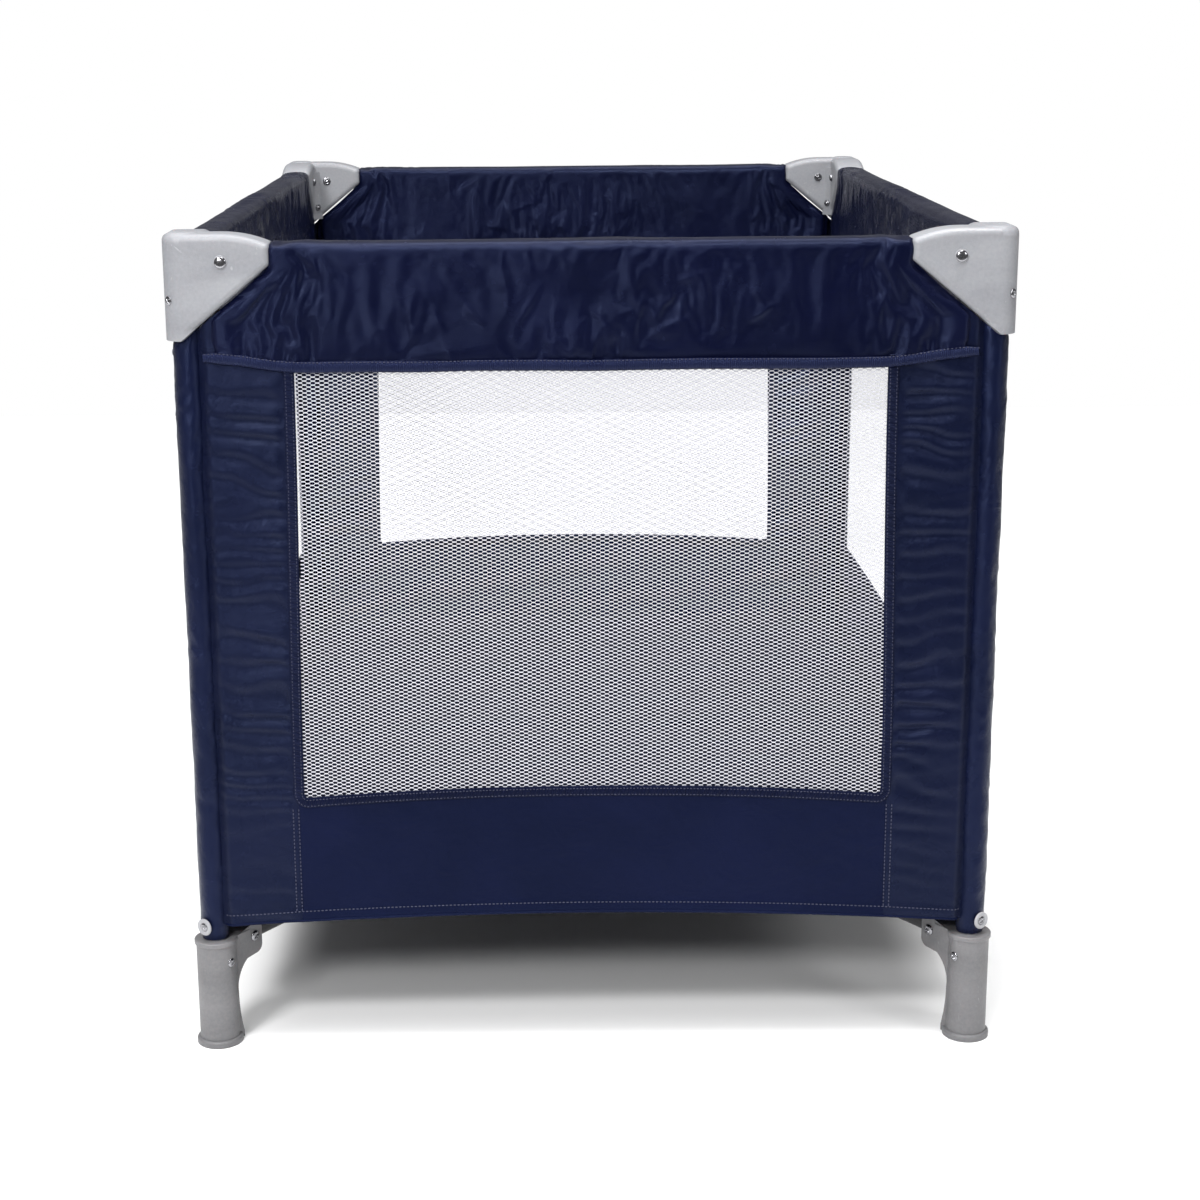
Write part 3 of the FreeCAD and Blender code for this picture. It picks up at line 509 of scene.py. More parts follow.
def window_edge(side, z):
    """Half width of the netting at a height; the frame pulls it in a little at the top."""
    pull = side.either(4.5, 1.5) * MM
    return side.window - pull * ramp((z - 0.25) / 0.38)


def window_foot(side, s):
    """The lower edge of the netting, which sags towards its corners."""
    return side.either(0.2445, 0.2425) + 0.0095 * (1 - (np.abs(s) / side.window) ** 2.2)


def hem_height(side, s):
    """The bottom edge of the wall, a shallow arch."""
    crown, drop, reach = side.either((0.1315, 0.007, 0.27), (0.131, 0.010, 0.5))
    return np.maximum(crown - drop * (np.abs(s) / reach) ** 2, HEM_LOWEST)


def strip_top(side, s):
    """The strips run up behind the rail cover, and near a leg stop under the cap."""
    return np.minimum(CAP_LOW - 2 * MM + (side.half - np.abs(s) + 3 * MM) * CAP_SLOPE, STRIP_HIGHEST)


def strip_relief(side, s, z):
    """How far the strips stand out: soft gathers drawn in at the netting's binding."""
    edge = window_edge(side, z) + BAND
    reach = side.half - edge
    into = np.clip((np.abs(s) - edge) / reach, 0, 1)
    sign = np.where(s > 0, 1.0, -1.0)
    phase = z / GATHER_PITCH + 0.75 * noise(z / 0.055, sign * 3 + s * 4, side.seed)
    phase = phase + 5 * (np.abs(s) - edge) * sign + 0.4 * noise(s / 0.04, z / 0.03, side.seed + 5)
    fold = 0.5 * np.sin(2 * np.pi * phase) + 0.12 * np.sin(4 * np.pi * phase + 0.8)
    strong = 0.65 + 0.6 * noise(z / 0.045 + 9, s / 0.05, side.seed + 1)
    fade = (1 - ramp(into * 1.05)) ** 0.7 * 0.75 + 0.25
    start = ramp((np.abs(s) - edge + 2 * MM) / (7 * MM))
    relief = fold * strong * fade * start * side.either(4.6, 3.0) * MM
    creases = ridge(s / 0.030 + z / 0.05, z / 0.011 - s / 0.08, side.seed + 2)
    sway = noise(s / 0.05, z / 0.09, side.seed + 3)
    return relief + 0.5 * MM * creases * ramp(into * 4) + 0.9 * MM * sway


def skirt_relief(side, s, z):
    """Tension wrinkles of the skirt, fanning from its corners."""
    corner = np.clip((np.abs(s) - side.window * 0.55) / (side.window * 0.45), 0, 1)
    fan = ridge((s - z * 1.2) / 0.06, (z + s * 0.35) / 0.018, side.seed + 7)
    fan = fan + ridge((s + z) / 0.05, (z - s * 0.3) / 0.022, side.seed + 8)
    return MM * (0.5 * noise(s / 0.11, z / 0.07, side.seed + 9) + (0.12 + 0.35 * corner) * fan * 0.6)


def wall_relief(side, s, z):
    """Distance of the wall's cloth from the rails' plane."""
    s, z = np.broadcast_arrays(np.asarray(s, float), np.asarray(z, float))
    seam = side.window + SEAM
    lower = ramp((z - (window_foot(side, side.window) - 14 * MM)) / (22 * MM))
    outer = ramp((np.abs(s) - seam) / (10 * MM))
    in_strip = strip_relief(side, s, z)
    in_skirt = skirt_relief(side, s, z)
    beside = in_strip * lower + (in_strip * 0.35 + in_skirt * 0.5) * (1 - lower)
    relief = in_skirt * (1 - outer) + beside * outer
    below = 1 - ramp((z - window_foot(side, side.window) + 4 * MM) / (5 * MM))
    for offset in SEAM_ROWS:
        groove = np.exp(-((np.abs(s) - seam - offset) / (1.1 * MM)) ** 2)
        relief = relief - 0.75 * MM * groove * below
    hem_top = hem_height(side, s) + HEM
    relief = relief + 0.7 * MM * (1 - ramp((z - hem_top) / (1.2 * MM)))
    relief = relief - 0.5 * MM * np.exp(-((z - hem_top + 1.6 * MM) / (0.9 * MM)) ** 2)
    near_leg = ramp((np.abs(s) - (side.half - 19 * MM)) / (10 * MM))
    top_calm = 1 - 0.65 * ramp((z - COVER_FOOT + 6 * MM) / (10 * MM))
    relief = relief * (1 - near_leg * 0.7) * top_calm
    return CLOTH_D + relief - 5.2 * MM * near_leg


def wall_patch(side, name, s_low, s_high, z_low, z_high, cell, finish, replaces=()):
    """A panel between two vertical curves s(z) and two heights z(s), as one sheet."""
    rows = int(max(12, (z_high(0.5) - z_low(0.5)) / cell))
    columns = int(max(8, abs(s_high(0.4) - s_low(0.4)) / cell))
    v, u = np.meshgrid(np.linspace(0, 1, rows), np.linspace(0, 1, columns), indexing="ij")
    z = 0.12 + v * 0.55
    for _ in range(3):
        s = s_low(z) * (1 - u) + s_high(z) * u
        z = z_low(s) * (1 - v) + z_high(s) * v
    points = side.points(s, wall_relief(side, s, z), z)
    piece = side.add(name, points, [grid_faces(rows, columns)], finish, (s, z), replaces=replaces)
    width = abs(float(s_high(np.float64(0.4)) - s_low(np.float64(0.4))))
    height = float(np.mean(z_high(s) - z_low(s)))
    return piece, (width, height)


def row_of_stitches(side, name, paths):
    """Rows of thread along (s, z) paths, lying just proud of the cloth."""
    rows = []
    for s, z, lift in paths:
        s, z = np.broadcast_arrays(np.asarray(s, float), np.asarray(z, float))
        path = side.points(s, wall_relief(side, s, z) + lift, z)
        rows.append(stitches(path, side.outward))
    return side.sew(name, rows)


def window_path(side, out):
    """The binding's run: down one side of the netting, along its foot and up the other side."""
    corner = 3.2 * MM
    z_down = np.arange(WINDOW_TOP, window_foot(side, side.window) + corner, -1.6 * MM)
    s_side = window_edge(side, z_down) + out
    s_run = side.window - corner
    s_flat = np.arange(-s_run, s_run, 1.6 * MM)
    z_flat = window_foot(side, s_flat) - out
    turn = np.linspace(0, math.pi / 2, 7)[1:-1]
    left_s = -s_run - (s_side[-1] - s_run) * np.cos(turn)
    left_z = z_down[-1] - (z_down[-1] - z_flat[0]) * np.sin(turn)
    s = np.concatenate([-s_side, left_s, s_flat, -left_s[::-1], s_side[::-1]])
    z = np.concatenate([z_down, left_z, z_flat, left_z[::-1], z_down[::-1]])
    return s, z


def binding(side):
    """A folded tape round the netting, puckered by its two seams."""
    across = np.linspace(0, 1, 9)
    shapes = [window_path(side, BAND * c) for c in across]
    s = np.stack([shape[0] for shape in shapes], axis=1)
    z = np.stack([shape[1] for shape in shapes], axis=1)
    mid = np.stack([s[:, 4], z[:, 4]], axis=1)
    run = np.concatenate([[0], np.cumsum(np.linalg.norm(np.diff(mid, axis=0), axis=1))])[:, None]
    phase = run / PUCKER_PITCH + across[None, :] * 0.9 + 0.5 * noise(run / 0.02, 0.5, side.seed)
    pucker = np.sin(2 * math.pi * phase)
    bulge = np.sin(math.pi * np.clip(across, 0.02, 0.98))[None, :] ** 0.55
    gathers = strip_relief(side, np.sign(s) * side.window + s * 0, z)
    base = CLOTH_D + 0.45 * gathers * ramp((z - 0.25) / 0.03)
    d = base + (0.3 + 1.2 * bulge) * MM + 0.62 * MM * pucker * bulge
    name = "window_binding_" + side.name
    back = CLOTH_D - 1.2 * MM + 0 * s[:, :1]
    s = np.concatenate([s[:, :1], s, s[:, -1:]], axis=1)
    z = np.concatenate([z[:, :1], z, z[:, -1:]], axis=1)
    d = np.concatenate([back, d, back], axis=1)
    rows, columns = s.shape
    uv = (np.repeat(run, columns, axis=1), np.tile(np.arange(columns), rows) * MM)
    tape = side.add(name, side.points(s, d, z), [grid_faces(rows, columns, wrap=True)], BINDING, uv)
    seams = []
    for c in (0.2, 0.82):
        seam_s, seam_z = window_path(side, BAND * c)
        nearest = int(round(c * 8)) + 1
        path = side.points(seam_s, d[:, nearest] + 0.15 * MM, seam_z)
        seams.append(stitches(path, side.outward, 2.2 * MM, 3.2 * MM, 0.4 * MM, 0.3 * MM))
    return [tape, side.sew(name + "_thread", seams)]


def net_holes(side):
    """Corners (s, z) of hexagonal holes in staggered rows, and which of the holes lie in the window."""
    pitch_s, pitch_z = side.either((7.75 * MM, 3.5 * MM), (8.1 * MM, 3.75 * MM))
    columns = int(2 * side.window / pitch_s) + 2
    rows = int((NET_TOP - NET_LOWEST) / (pitch_z / 2)) + 2
    row, column = np.meshgrid(np.arange(rows), np.arange(columns), indexing="ij")
    centre_s = (column - (columns - 1) / 2) * pitch_s + (row % 2) * pitch_s / 2 - pitch_s / 4
    centre_z = NET_TOP - row * pitch_z / 2
    wide, narrow, tall = np.array([2.4, 1.35, 1.16]) * MM * (pitch_s / (7.75 * MM))
    hole = np.array([(wide, 0), (narrow, tall), (-narrow, tall),
                     (-wide, 0), (-narrow, -tall), (narrow, -tall)])
    inside = ((np.abs(centre_s) < window_edge(side, centre_z) + 1 * MM)
              & (centre_z > window_foot(side, centre_s) - 2 * MM))
    return centre_s[..., None] + hole[:, 0], centre_z[..., None] + hole[:, 1], inside


def net_threads(inside):
    """Quads between the edges of neighbouring holes, and triangles where three holes meet."""
    rows, columns = inside.shape
    r, c = np.nonzero(inside)
    shift = r % 2
    quads, tris = [], []
    above_two = (r - 2, c)
    up_right = (r - 1, c + shift)
    up_left = (r - 1, c + shift - 1)
    down_right = (r + 1, c + shift)
    down_left = (r + 1, c + shift - 1)

    def at(r, c, corner):
        return (r * columns + c) * 6 + corner

    def usable(*cells):
        good = np.ones(len(r), bool)
        for rr, cc in cells:
            fits = (rr >= 0) & (rr < rows) & (cc >= 0) & (cc < columns)
            good &= fits
            good[fits] &= inside[rr[fits], cc[fits]]
        return good

    shared_edges = ((above_two, (1, 2), (4, 5)), (up_right, (0, 1), (3, 4)), (up_left, (2, 3), (5, 0)))
    for cell, mine, theirs in shared_edges:
        good = usable(cell)
        rr, cc = cell[0][good], cell[1][good]
        quads.append(np.stack([at(r[good], c[good], mine[0]), at(rr, cc, theirs[1]),
                               at(rr, cc, theirs[0]), at(r[good], c[good], mine[1])], axis=1))
    for first, mine, (one, two) in ((up_right, 0, (4, 2)), (up_left, 3, (5, 1))):
        second = down_right if first is up_right else down_left
        good = usable(first, second)
        tris.append(np.stack([at(r[good], c[good], mine), at(second[0][good], second[1][good], two),
                              at(first[0][good], first[1][good], one)], axis=1))
    return np.concatenate(quads), np.concatenate(tris)


def netting(side):
    """Hexagonal tulle: flat threads round open holes."""
    s, z, inside = net_holes(side)
    quads, tris = net_threads(inside)
    used = np.unique(np.concatenate([quads.reshape(-1), tris.reshape(-1)]))
    index = np.zeros(s.size, np.int64)
    index[used] = np.arange(len(used))
    s = s.reshape(-1)[used]
    z = z.reshape(-1)[used]
    slack = 1.1 * noise(s / 0.14, z / 0.16, side.seed + 12) + 0.35 * noise(s / 0.03, z / 0.05, side.seed + 13)
    sway = 0.35 * MM * noise(s / 0.02, z / 0.02, side.seed + 14)
    points = side.points(s + sway, CLOTH_D - 0.2 * MM + slack * MM, z + sway * 0.5)
    piece = side.add("netting_" + side.name, points, [index[quads], index[tris]], NET, slot="netting",
                     replaces=["wall_netting_" + side.name], smooth=False)
    areas = np.empty(len(piece.data.polygons))
    piece.data.polygons.foreach_get("area", areas)
    return piece, float(areas.sum()), (2 * side.window, NET_TOP - NET_FOOT)


def hem_edge(side):
    """The rounded bottom fold of the skirt and strips."""
    reach = side.half - 10 * MM
    s = np.arange(-reach, reach, 3 * MM)
    z = hem_height(side, s)
    path = side.points(s, wall_relief(side, s, z) - 0.2 * MM, z)
    points, faces = tube_along(path, 1.25 * MM, 8, 0.9)
    uv = (np.repeat(s, 8), np.tile(np.arange(8) * MM, len(s)))
    return side.add("hem_edge_" + side.name, points, [faces], SKIRT, uv)


def wall_seams(side):
    """Stitches along the hem, and two rows down each seam of the skirt."""
    reach = side.half - 12 * MM
    s_hem = np.arange(-reach, reach, 1.5 * MM)
    z_seam = np.arange(0.134, window_foot(side, side.window) - 8 * MM, 1.5 * MM)
    rows = [(s_hem, hem_height(side, s_hem) + HEM - 1.6 * MM, 0.55 * MM)]
    for sign in (-1, 1):
        for offset in SEAM_ROWS:
            rows.append((sign * (side.window + SEAM + offset), z_seam, 0.75 * MM))
    return row_of_stitches(side, "wall_thread_" + side.name, rows)


def build_wall(side):
    """Two gathered strips, a skirt, the net in its binding, and the rows of stitches."""
    seam = side.window + SEAM
    end = side.half - 9 * MM
    for word, sign in (("a", -1), ("b", 1)):
        wall_patch(
            side, "wall_strip_" + side.name + "_" + word,
            lambda z, sign=sign: sign * (window_edge(side, z) + SEAM),
            lambda z, sign=sign: sign * end + 0 * z,
            lambda s: hem_height(side, s),
            lambda s: strip_top(side, s),
            1.9 * MM, STRIP, ["wall_cloth_" + side.name] if sign < 0 else ())
    skirt, skirt_flat = wall_patch(
        side, "wall_skirt_" + side.name,
        lambda z: -seam + 0 * z,
        lambda z: seam + 0 * z,
        lambda s: hem_height(side, s),
        lambda s: window_foot(side, s) - BAND * 0.4,
        side.either(2.4, 2.8) * MM, SKIRT)
    net, net_area, net_flat = netting(side)
    trims = binding(side)
    hem = hem_edge(side)
    thread = wall_seams(side)


# ------------------------------------------------------------------ leg sleeves


def leg_sleeve(corner):
    """An open wrap of cloth round a leg tube, cut to the cap's slanted edges, with its seam inwards."""
    sx, sy = CORNERS[corner]
    low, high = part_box("leg_sleeve_" + corner)
    z_low, z_high = low.z + 0.3 * MM, high.z + 13 * MM
    rows, sides = 260, 40
    seam_at = math.atan2(sy, sx) + math.pi
    once_round = np.linspace(seam_at, seam_at + 2 * math.pi, sides)
    z, turn = np.meshgrid(np.linspace(z_low, z_high, rows), once_round, indexing="ij")
    inwards = np.maximum(-sx * np.cos(turn), -sy * np.sin(turn)) * 12.9 * MM
    under_cap = CAP_LOW - 0.8 * MM + CAP_SLOPE * np.maximum(inwards + 2.2 * MM, 0)
    z = z_low + (z - z_low) * (under_cap - z_low) / (z_high - z_low)
    z_high = under_cap
    seed = 71 + 3 * sx + 7 * sy
    wrap = np.cos(turn) * 0.9
    wrap_y = np.sin(turn) * 0.9
    rings = ridge(z / 0.015 + 0.9 * noise(wrap * 2, wrap_y * 2 + z * 9, seed), wrap * 1.3 + wrap_y, seed + 1)
    broad = noise(z / 0.055, wrap * 1.5, seed + 2) + 0.6 * noise(z / 0.03, wrap_y * 1.5 + 4, seed + 3)
    ends = ramp((z - z_low) / 0.006) * ramp((z_high - z) / 0.006)
    radius = (13.0 + 0.42 * rings + 0.45 * broad) * MM
    radius = np.clip(radius, 12.1 * MM, 14.0 * MM) * (0.93 + 0.07 * ends)
    radius = radius + 0.7 * MM * np.exp(-(np.angle(np.exp(1j * (turn - seam_at))) / 0.09) ** 2)
    leg = middle("leg_tube_" + corner)
    x, y = leg.x + radius * np.cos(turn), leg.y + radius * np.sin(turn)
    points = np.stack([x, y, z], axis=-1).reshape(-1, 3)
    name = "leg_sleeve_cloth_" + corner
    piece = add_piece(name, points, [grid_faces(rows, sides)], SLEEVE, "leg_" + corner,
                      ["leg_sleeve_" + corner], (turn * 13 * MM, z))


for corner in CORNERS:
    leg_sleeve(corner)
for side in SIDES:
    build_wall(side)

# ------------------------------------------------------------------ cloth that buckles


def cloth_threads(base, grow_s, grow_t, free):
    """Pairs of neighbouring points: where they are, how far apart, growth, stiffness and shares of a pull."""
    rows, columns, _ = base.shape

    def neighbours(count):
        return [(slice(first, count - 1, 2), slice(first + 1, count, 2)) for first in (0, 1)]

    every, left, right = slice(None), slice(0, columns - 1), slice(1, columns)
    runs = [((every, a), (every, b), "s", 1.0) for a, b in neighbours(columns)]
    runs += [((a, every), (b, every), "t", 1.0) for a, b in neighbours(rows)]
    for a, b in neighbours(rows):
        runs += [((a, left), (b, right), "both", 0.5), ((a, right), (b, left), "both", 0.5)]
    threads = []
    for a, b, kind, stiff in runs:
        size = np.linalg.norm(base[b] - base[a], axis=-1, keepdims=True)
        gs = (grow_s[a] + grow_s[b])[..., None] / 2 - 1
        gt = (grow_t[a] + grow_t[b])[..., None] / 2 - 1
        grow = {"s": gs, "t": gt, "both": (gs + gt) / 2}[kind]
        share = free[a] + free[b]
        share = np.where(share > 0, 1 / np.maximum(share, 1), 0)
        threads.append((a, b, size, grow, stiff, free[a] * share, free[b] * share))
    return threads


def cloth_bends(base):
    """Pairs of points two steps apart, and how far apart they are."""
    rows, columns, _ = base.shape
    every = slice(None)
    pairs = [((every, slice(0, columns - 2)), (every, slice(2, columns))),
             ((slice(0, rows - 2), every), (slice(2, rows), every))]
    return [(a, b, np.linalg.norm(base[b] - base[a], axis=-1, keepdims=True)) for a, b in pairs]


def settle(base, normal, grow_s, grow_t, low, high, seed, steps=100, rounds=3, bend=0.7, start=1.0 * MM):
    """A grid of cloth cut larger than the space it fills, eased into folds.

    base is the flat-lying grid and normal its outward direction; grow_s and grow_t are the cloth's
    lengths across and down the rows, against the base's; low and high bound how far it leaves the base.
    The first and last rows and columns stay where they are.
    """
    rows, columns, _ = base.shape
    row, column = np.meshgrid(np.arange(rows), np.arange(columns), indexing="ij")
    free = np.ones((rows, columns, 1))
    free[[0, -1], :] = 0
    free[:, [0, -1]] = 0
    offset = start * (noise(column / 9.0, row / 7.0, seed) + 0.5 * noise(column / 4.0, row / 4.0, seed + 1))
    x = base + normal * offset[..., None] * free
    before = x.copy()
    threads = cloth_threads(base, grow_s, grow_t, free)
    bends = cloth_bends(base)
    for step in range(steps):
        ease = ramp(np.array(step / (0.6 * steps)))
        moved = (x - before) * 0.90
        before = x.copy()
        x = x + moved * free
        for _ in range(rounds):
            for a, b, size, grow, stiff, wa, wb in threads:
                gap = x[b] - x[a]
                length = np.sqrt((gap * gap).sum(-1, keepdims=True)) + 1e-12
                pull = gap * (stiff * (length - size * (1 + grow * ease)) / length)
                x[a] += pull * wa
                x[b] -= pull * wb
            for a, b, size in bends:
                gap = x[b] - x[a]
                length = np.sqrt((gap * gap).sum(-1, keepdims=True)) + 1e-12
                push = gap * (bend * np.minimum(length - size, 0) / length * 0.5)
                x[a] += push * free[a]
                x[b] -= push * free[b]
            lift = ((x - base) * normal).sum(-1, keepdims=True)
            x += normal * (np.clip(lift, low[..., None], high[..., None]) - lift) * free
    return x


def pinches(s, t, spots, seed):
    """Sharp creases left in satin by folding: steep on one side and easy on the other."""
    chance = np.random.default_rng(seed)
    height = np.zeros_like(s)
    for spot_s, spot_t, spread_s, spread_t, count in spots:
        for _ in range(count):
            at_s, at_t = chance.normal(spot_s, spread_s), chance.normal(spot_t, spread_t)
            angle = chance.normal(1.35, 0.55) * chance.choice((-1, 1))
            length = chance.uniform(9, 30) * MM
            width = chance.uniform(1.1, 2.2) * MM
            along = (s - at_s) * math.cos(angle) + (t - at_t) * math.sin(angle)
            across = (t - at_t) * math.cos(angle) - (s - at_s) * math.sin(angle)
            across = (across + along ** 2 * chance.uniform(-9, 9)) * chance.choice((-1, 1))
            easy = chance.uniform(3.0, 6.0)
            profile = np.exp(-np.where(across > 0, across / width, -across / (width * easy)))
            fade = np.clip(1 - (along / length) ** 2, 0, 1) ** 1.5
            height += chance.uniform(1.0, 2.6) * MM * profile * fade
    return height


def finer(grid):
    """The same grid with a smooth point between every two, both ways."""
    for axis in (0, 1):
        g = np.swapaxes(grid, 0, axis)
        padded = np.concatenate([2 * g[:1] - g[1:2], g, 2 * g[-1:] - g[-2:-1]])
        between = (-padded[:-3] + 9 * padded[1:-2] + 9 * padded[2:-1] - padded[3:]) / 16
        out = np.empty((2 * len(g) - 1,) + g.shape[1:])
        out[0::2] = g
        out[1::2] = between
        grid = np.swapaxes(out, 0, axis)
    return grid


# ------------------------------------------------------------------ rail covers


def end_rise(side, s):
    """The covers' lower edge lifts over its last stretch, towards the legs."""
    return 9.0 * MM * ramp((np.abs(s) - (side.half - 112 * MM)) / (95 * MM)) ** 1.3


def cover_end(side, z):
    """Half length of a rail cover's panel at a height: it follows the caps' slanted edges."""
    reach_in = 17 * MM + np.clip((z - (CAP_LOW + 14 * MM)) / CAP_SLOPE, 0, 56 * MM)
    gap = 6 * MM * ramp((COVER_TOP - 10 * MM - z) / (75 * MM))
    return side.half - reach_in + 3 * MM - gap


PANEL_D = 15.2 * MM         # the covers' panels, out from the rails' plane
PANEL_ROWS = 25             # of the grid on each panel, before finer()
COVER_CELL = 4.0 * MM


def inside_caps(d):
    """The panels' folds stay under the caps' faces."""
    room = 2.3 * MM
    past = np.maximum(np.abs(d) - PANEL_D, 0)
    return np.sign(d) * (np.minimum(np.abs(d), PANEL_D) + room * np.tanh(past / room))


def cover_section(count):
    """Points of the channel's section: up the outer panel, over the rail and down the inner panel."""
    shoulder = 9.5 * MM
    panel = np.linspace(COVER_FOOT + 5 * MM, COVER_TOP - shoulder, count)
    turn = np.linspace(0, math.pi, 9)[1:-1]
    flat = PANEL_D - shoulder
    over_d = np.where(turn < math.pi / 2, flat, -flat) + shoulder * np.cos(turn)
    over_d = np.where(np.abs(turn - math.pi / 2) < 1e-6, 0, over_d)
    over_z = COVER_TOP - shoulder + shoulder * np.sin(turn)
    d = np.concatenate([np.full(count, PANEL_D), over_d, np.full(count, -PANEL_D)])
    z = np.concatenate([panel, over_z, panel[::-1]])
    normal_d = np.concatenate([np.ones(count), np.cos(turn), -np.ones(count)])
    normal_z = np.concatenate([np.zeros(count), np.sin(turn), np.zeros(count)])
    return d, z, normal_d, normal_z


def cover_grid(side):
    """A cover before it buckles: points, outward directions, run round its section, tuck at its ends."""
    d, z, normal_d, normal_z = cover_section(PANEL_ROWS)
    run = np.concatenate([[0], np.cumsum(np.hypot(np.diff(d), np.diff(z)))])
    u = np.linspace(-1, 1, int(2 * side.half / COVER_CELL))
    end = cover_end(side, z)[:, None]
    widest = end.max()
    bent = np.clip((np.abs(u) * widest - widest + 130 * MM) / (130 * MM), 0, 1)[None, :] ** 1.5
    s = np.sign(u) * (np.abs(u) * widest - (widest - end) * bent)
    edge_gap = end - np.abs(s)
    zz = z[:, None] + end_rise(side, s) * np.clip(1 - (z[:, None] - COVER_FOOT) / (70 * MM), 0, 1)
    tuck = 1 - ramp((edge_gap - 1 * MM) / (8 * MM))
    swell = 2.6 * MM * np.exp(-((edge_gap - 15 * MM) / (10 * MM)) ** 2)
    above_hem = zz - (COVER_FOOT + 10.5 * MM + end_rise(side, s))
    groove = 1.8 * MM * np.exp(-(above_hem / (2.6 * MM)) ** 2)
    dd = d[:, None] + normal_d[:, None] * (swell - 4.0 * MM * tuck - groove)
    zz = zz - normal_z[:, None] * 2.2 * MM * tuck
    base = np.stack([s, dd, zz], axis=-1)
    normal = np.stack([0 * s, normal_d[:, None] + 0 * s, normal_z[:, None] + 0 * s], axis=-1)
    return base, normal, run[:, None] + 0 * s, tuck


def buckled(side, base, normal, run, tuck):
    """A cover's cloth settled on its rails; it is loosest over the latch and near the legs."""
    s = base[..., 0]
    on_panel = np.abs(normal[..., 1]) ** 2
    centre = np.exp(-(s / 0.105) ** 2)
    near_end = ramp((np.abs(s) - (side.half - 135 * MM)) / (60 * MM))
    patchy = ramp(0.5 + 1.4 * noise(s / 0.10, run / 0.06, side.seed + 3))
    grow_s = 1.0 + 0.0012 * patchy + 0.020 * centre * patchy + 0.045 * near_end
    grow_t = 1.0 + 0.0012 * patchy + 0.010 * centre * patchy + 0.012 * near_end
    over_latch = np.exp(-((np.abs(s) / side.either(0.07, 0.10)) ** 6))
    low = -(2.8 - 1.6 * over_latch) * MM * on_panel * (1 - tuck) - 0.8 * MM * (1 - on_panel)
    high = (4.2 * on_panel + 1.4 * (1 - on_panel)) * MM * (1 - 0.7 * tuck)
    return settle(base, normal, grow_s, grow_t, low, high, side.seed)


def cover_creases(side, s, t, facing):
    """How far pressed creases and broad billows lift a cover's cloth; facing is 1 on its panels."""
    reach = side.half - 70 * MM
    groups = (
        ((0.02,), 28 * MM, 0.030, 12 * MM, 9),
        ((-0.06, 0.07), 60 * MM, 0.045, 24 * MM, 7),
        ((-reach, reach), 55 * MM, 0.030, 25 * MM, 6),
        ((0.0,), 50 * MM, reach * 0.6, 30 * MM, 8),
    )
    spots = [(place, level, spread_s, spread_t, count) for places, up, spread_s, spread_t, count in groups
             for place in places for level in (up, t[-1, 0] - up)]
    crease = pinches(s, t, spots, side.seed + 60) * np.clip(facing, 0, 1)
    billow = 0.9 * MM * noise(s / 0.09, t / 0.05, side.seed + 70) * facing
    edge = ramp((1 - np.abs(np.linspace(-1, 1, s.shape[1]))) / 0.03)
    return (crease + billow) * edge


def rail_cover(side):
    """A satin channel over the two rail halves and their latch, buckled where it is loose."""
    base, normal, run, tuck = cover_grid(side)
    cloth = finer(buckled(side, base, normal, run, tuck))
    normal = finer(normal)
    s, t = np.moveaxis(finer(np.stack([base[..., 0], run], axis=-1)), -1, 0)
    cloth = cloth + normal * cover_creases(side, s, t, normal[..., 1] ** 2)[..., None]
    points = side.points(cloth[..., 0], inside_caps(cloth[..., 1]), cloth[..., 2])
    cover = side.add("rail_cover_cloth_" + side.name, points, [grid_faces(*s.shape)], VALANCE, (s, t),
                     replaces=["rail_cover_" + side.name])
    for word, sign in (("outer", 1), ("inner", -1)):
        cover_piping(side, word, sign)


def cover_piping(side, word, sign):
    """The rolled and pleated hem along a cover's lower edge."""
    reach = float(cover_end(side, np.float64(COVER_FOOT))) + 5 * MM
    along = np.arange(-reach, reach, 1.4 * MM)
    sway = 0.6 * MM * noise(along / 0.07, sign * 3.0, side.seed + 31)
    at_end = ramp((np.abs(along) - reach + 14 * MM) / (14 * MM))
    out = 15.0 * MM + sway - 2.0 * MM * at_end
    mid_z = COVER_FOOT + 4.9 * MM + end_rise(side, along)
    mid_z = mid_z + 0.5 * MM * noise(along / 0.05, 1.0, side.seed + 32)
    turn = np.linspace(0, 2 * math.pi, 14, endpoint=False)
    phase = along / (3.4 * MM) + 0.8 * noise(along / 0.02, 0.0, side.seed + 33)
    pleat = 1 + 0.045 * np.sin(2 * math.pi * phase) + 0.05 * noise(along / 0.009, 2.0, side.seed + 34)
    tall = 4.9 * MM * (1 - 0.25 * at_end)
    thick = 3.0 * MM * (1 - 0.2 * at_end)
    d = sign * (out[:, None] + thick[:, None] * np.cos(turn)[None, :] * pleat[:, None])
    z = mid_z[:, None] + tall[:, None] * np.sin(turn)[None, :]
    s = along[:, None] + 0 * z
    name = "cover_piping_" + side.name + "_" + word
    uv = (s, np.tile(np.arange(14) * 1.1 * MM, len(along)))
    side.add(name, side.points(s, d, z), [grid_faces(len(along), 14, wrap=True)], PIPING, uv)
    path = side.points(along, sign * (out + 0.6 * thick), mid_z + 0.86 * tall)
    side.sew(name + "_thread", [stitches(path, side.outward * sign, 2.4 * MM, 3.4 * MM, 0.4 * MM, 0.5 * MM)])


for side in SIDES:
    rail_cover(side)

# ------------------------------------------------------------------ mat and floor canvas

MAT_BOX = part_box("mattress")
FLOOR_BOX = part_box("floor_cloth")
MAT_ROUND = 48 * MM
CANVAS_ROUND = 34 * MM
CANVAS_TURN_UP = 11 * MM    # the canvas turns up where it is sewn to the walls


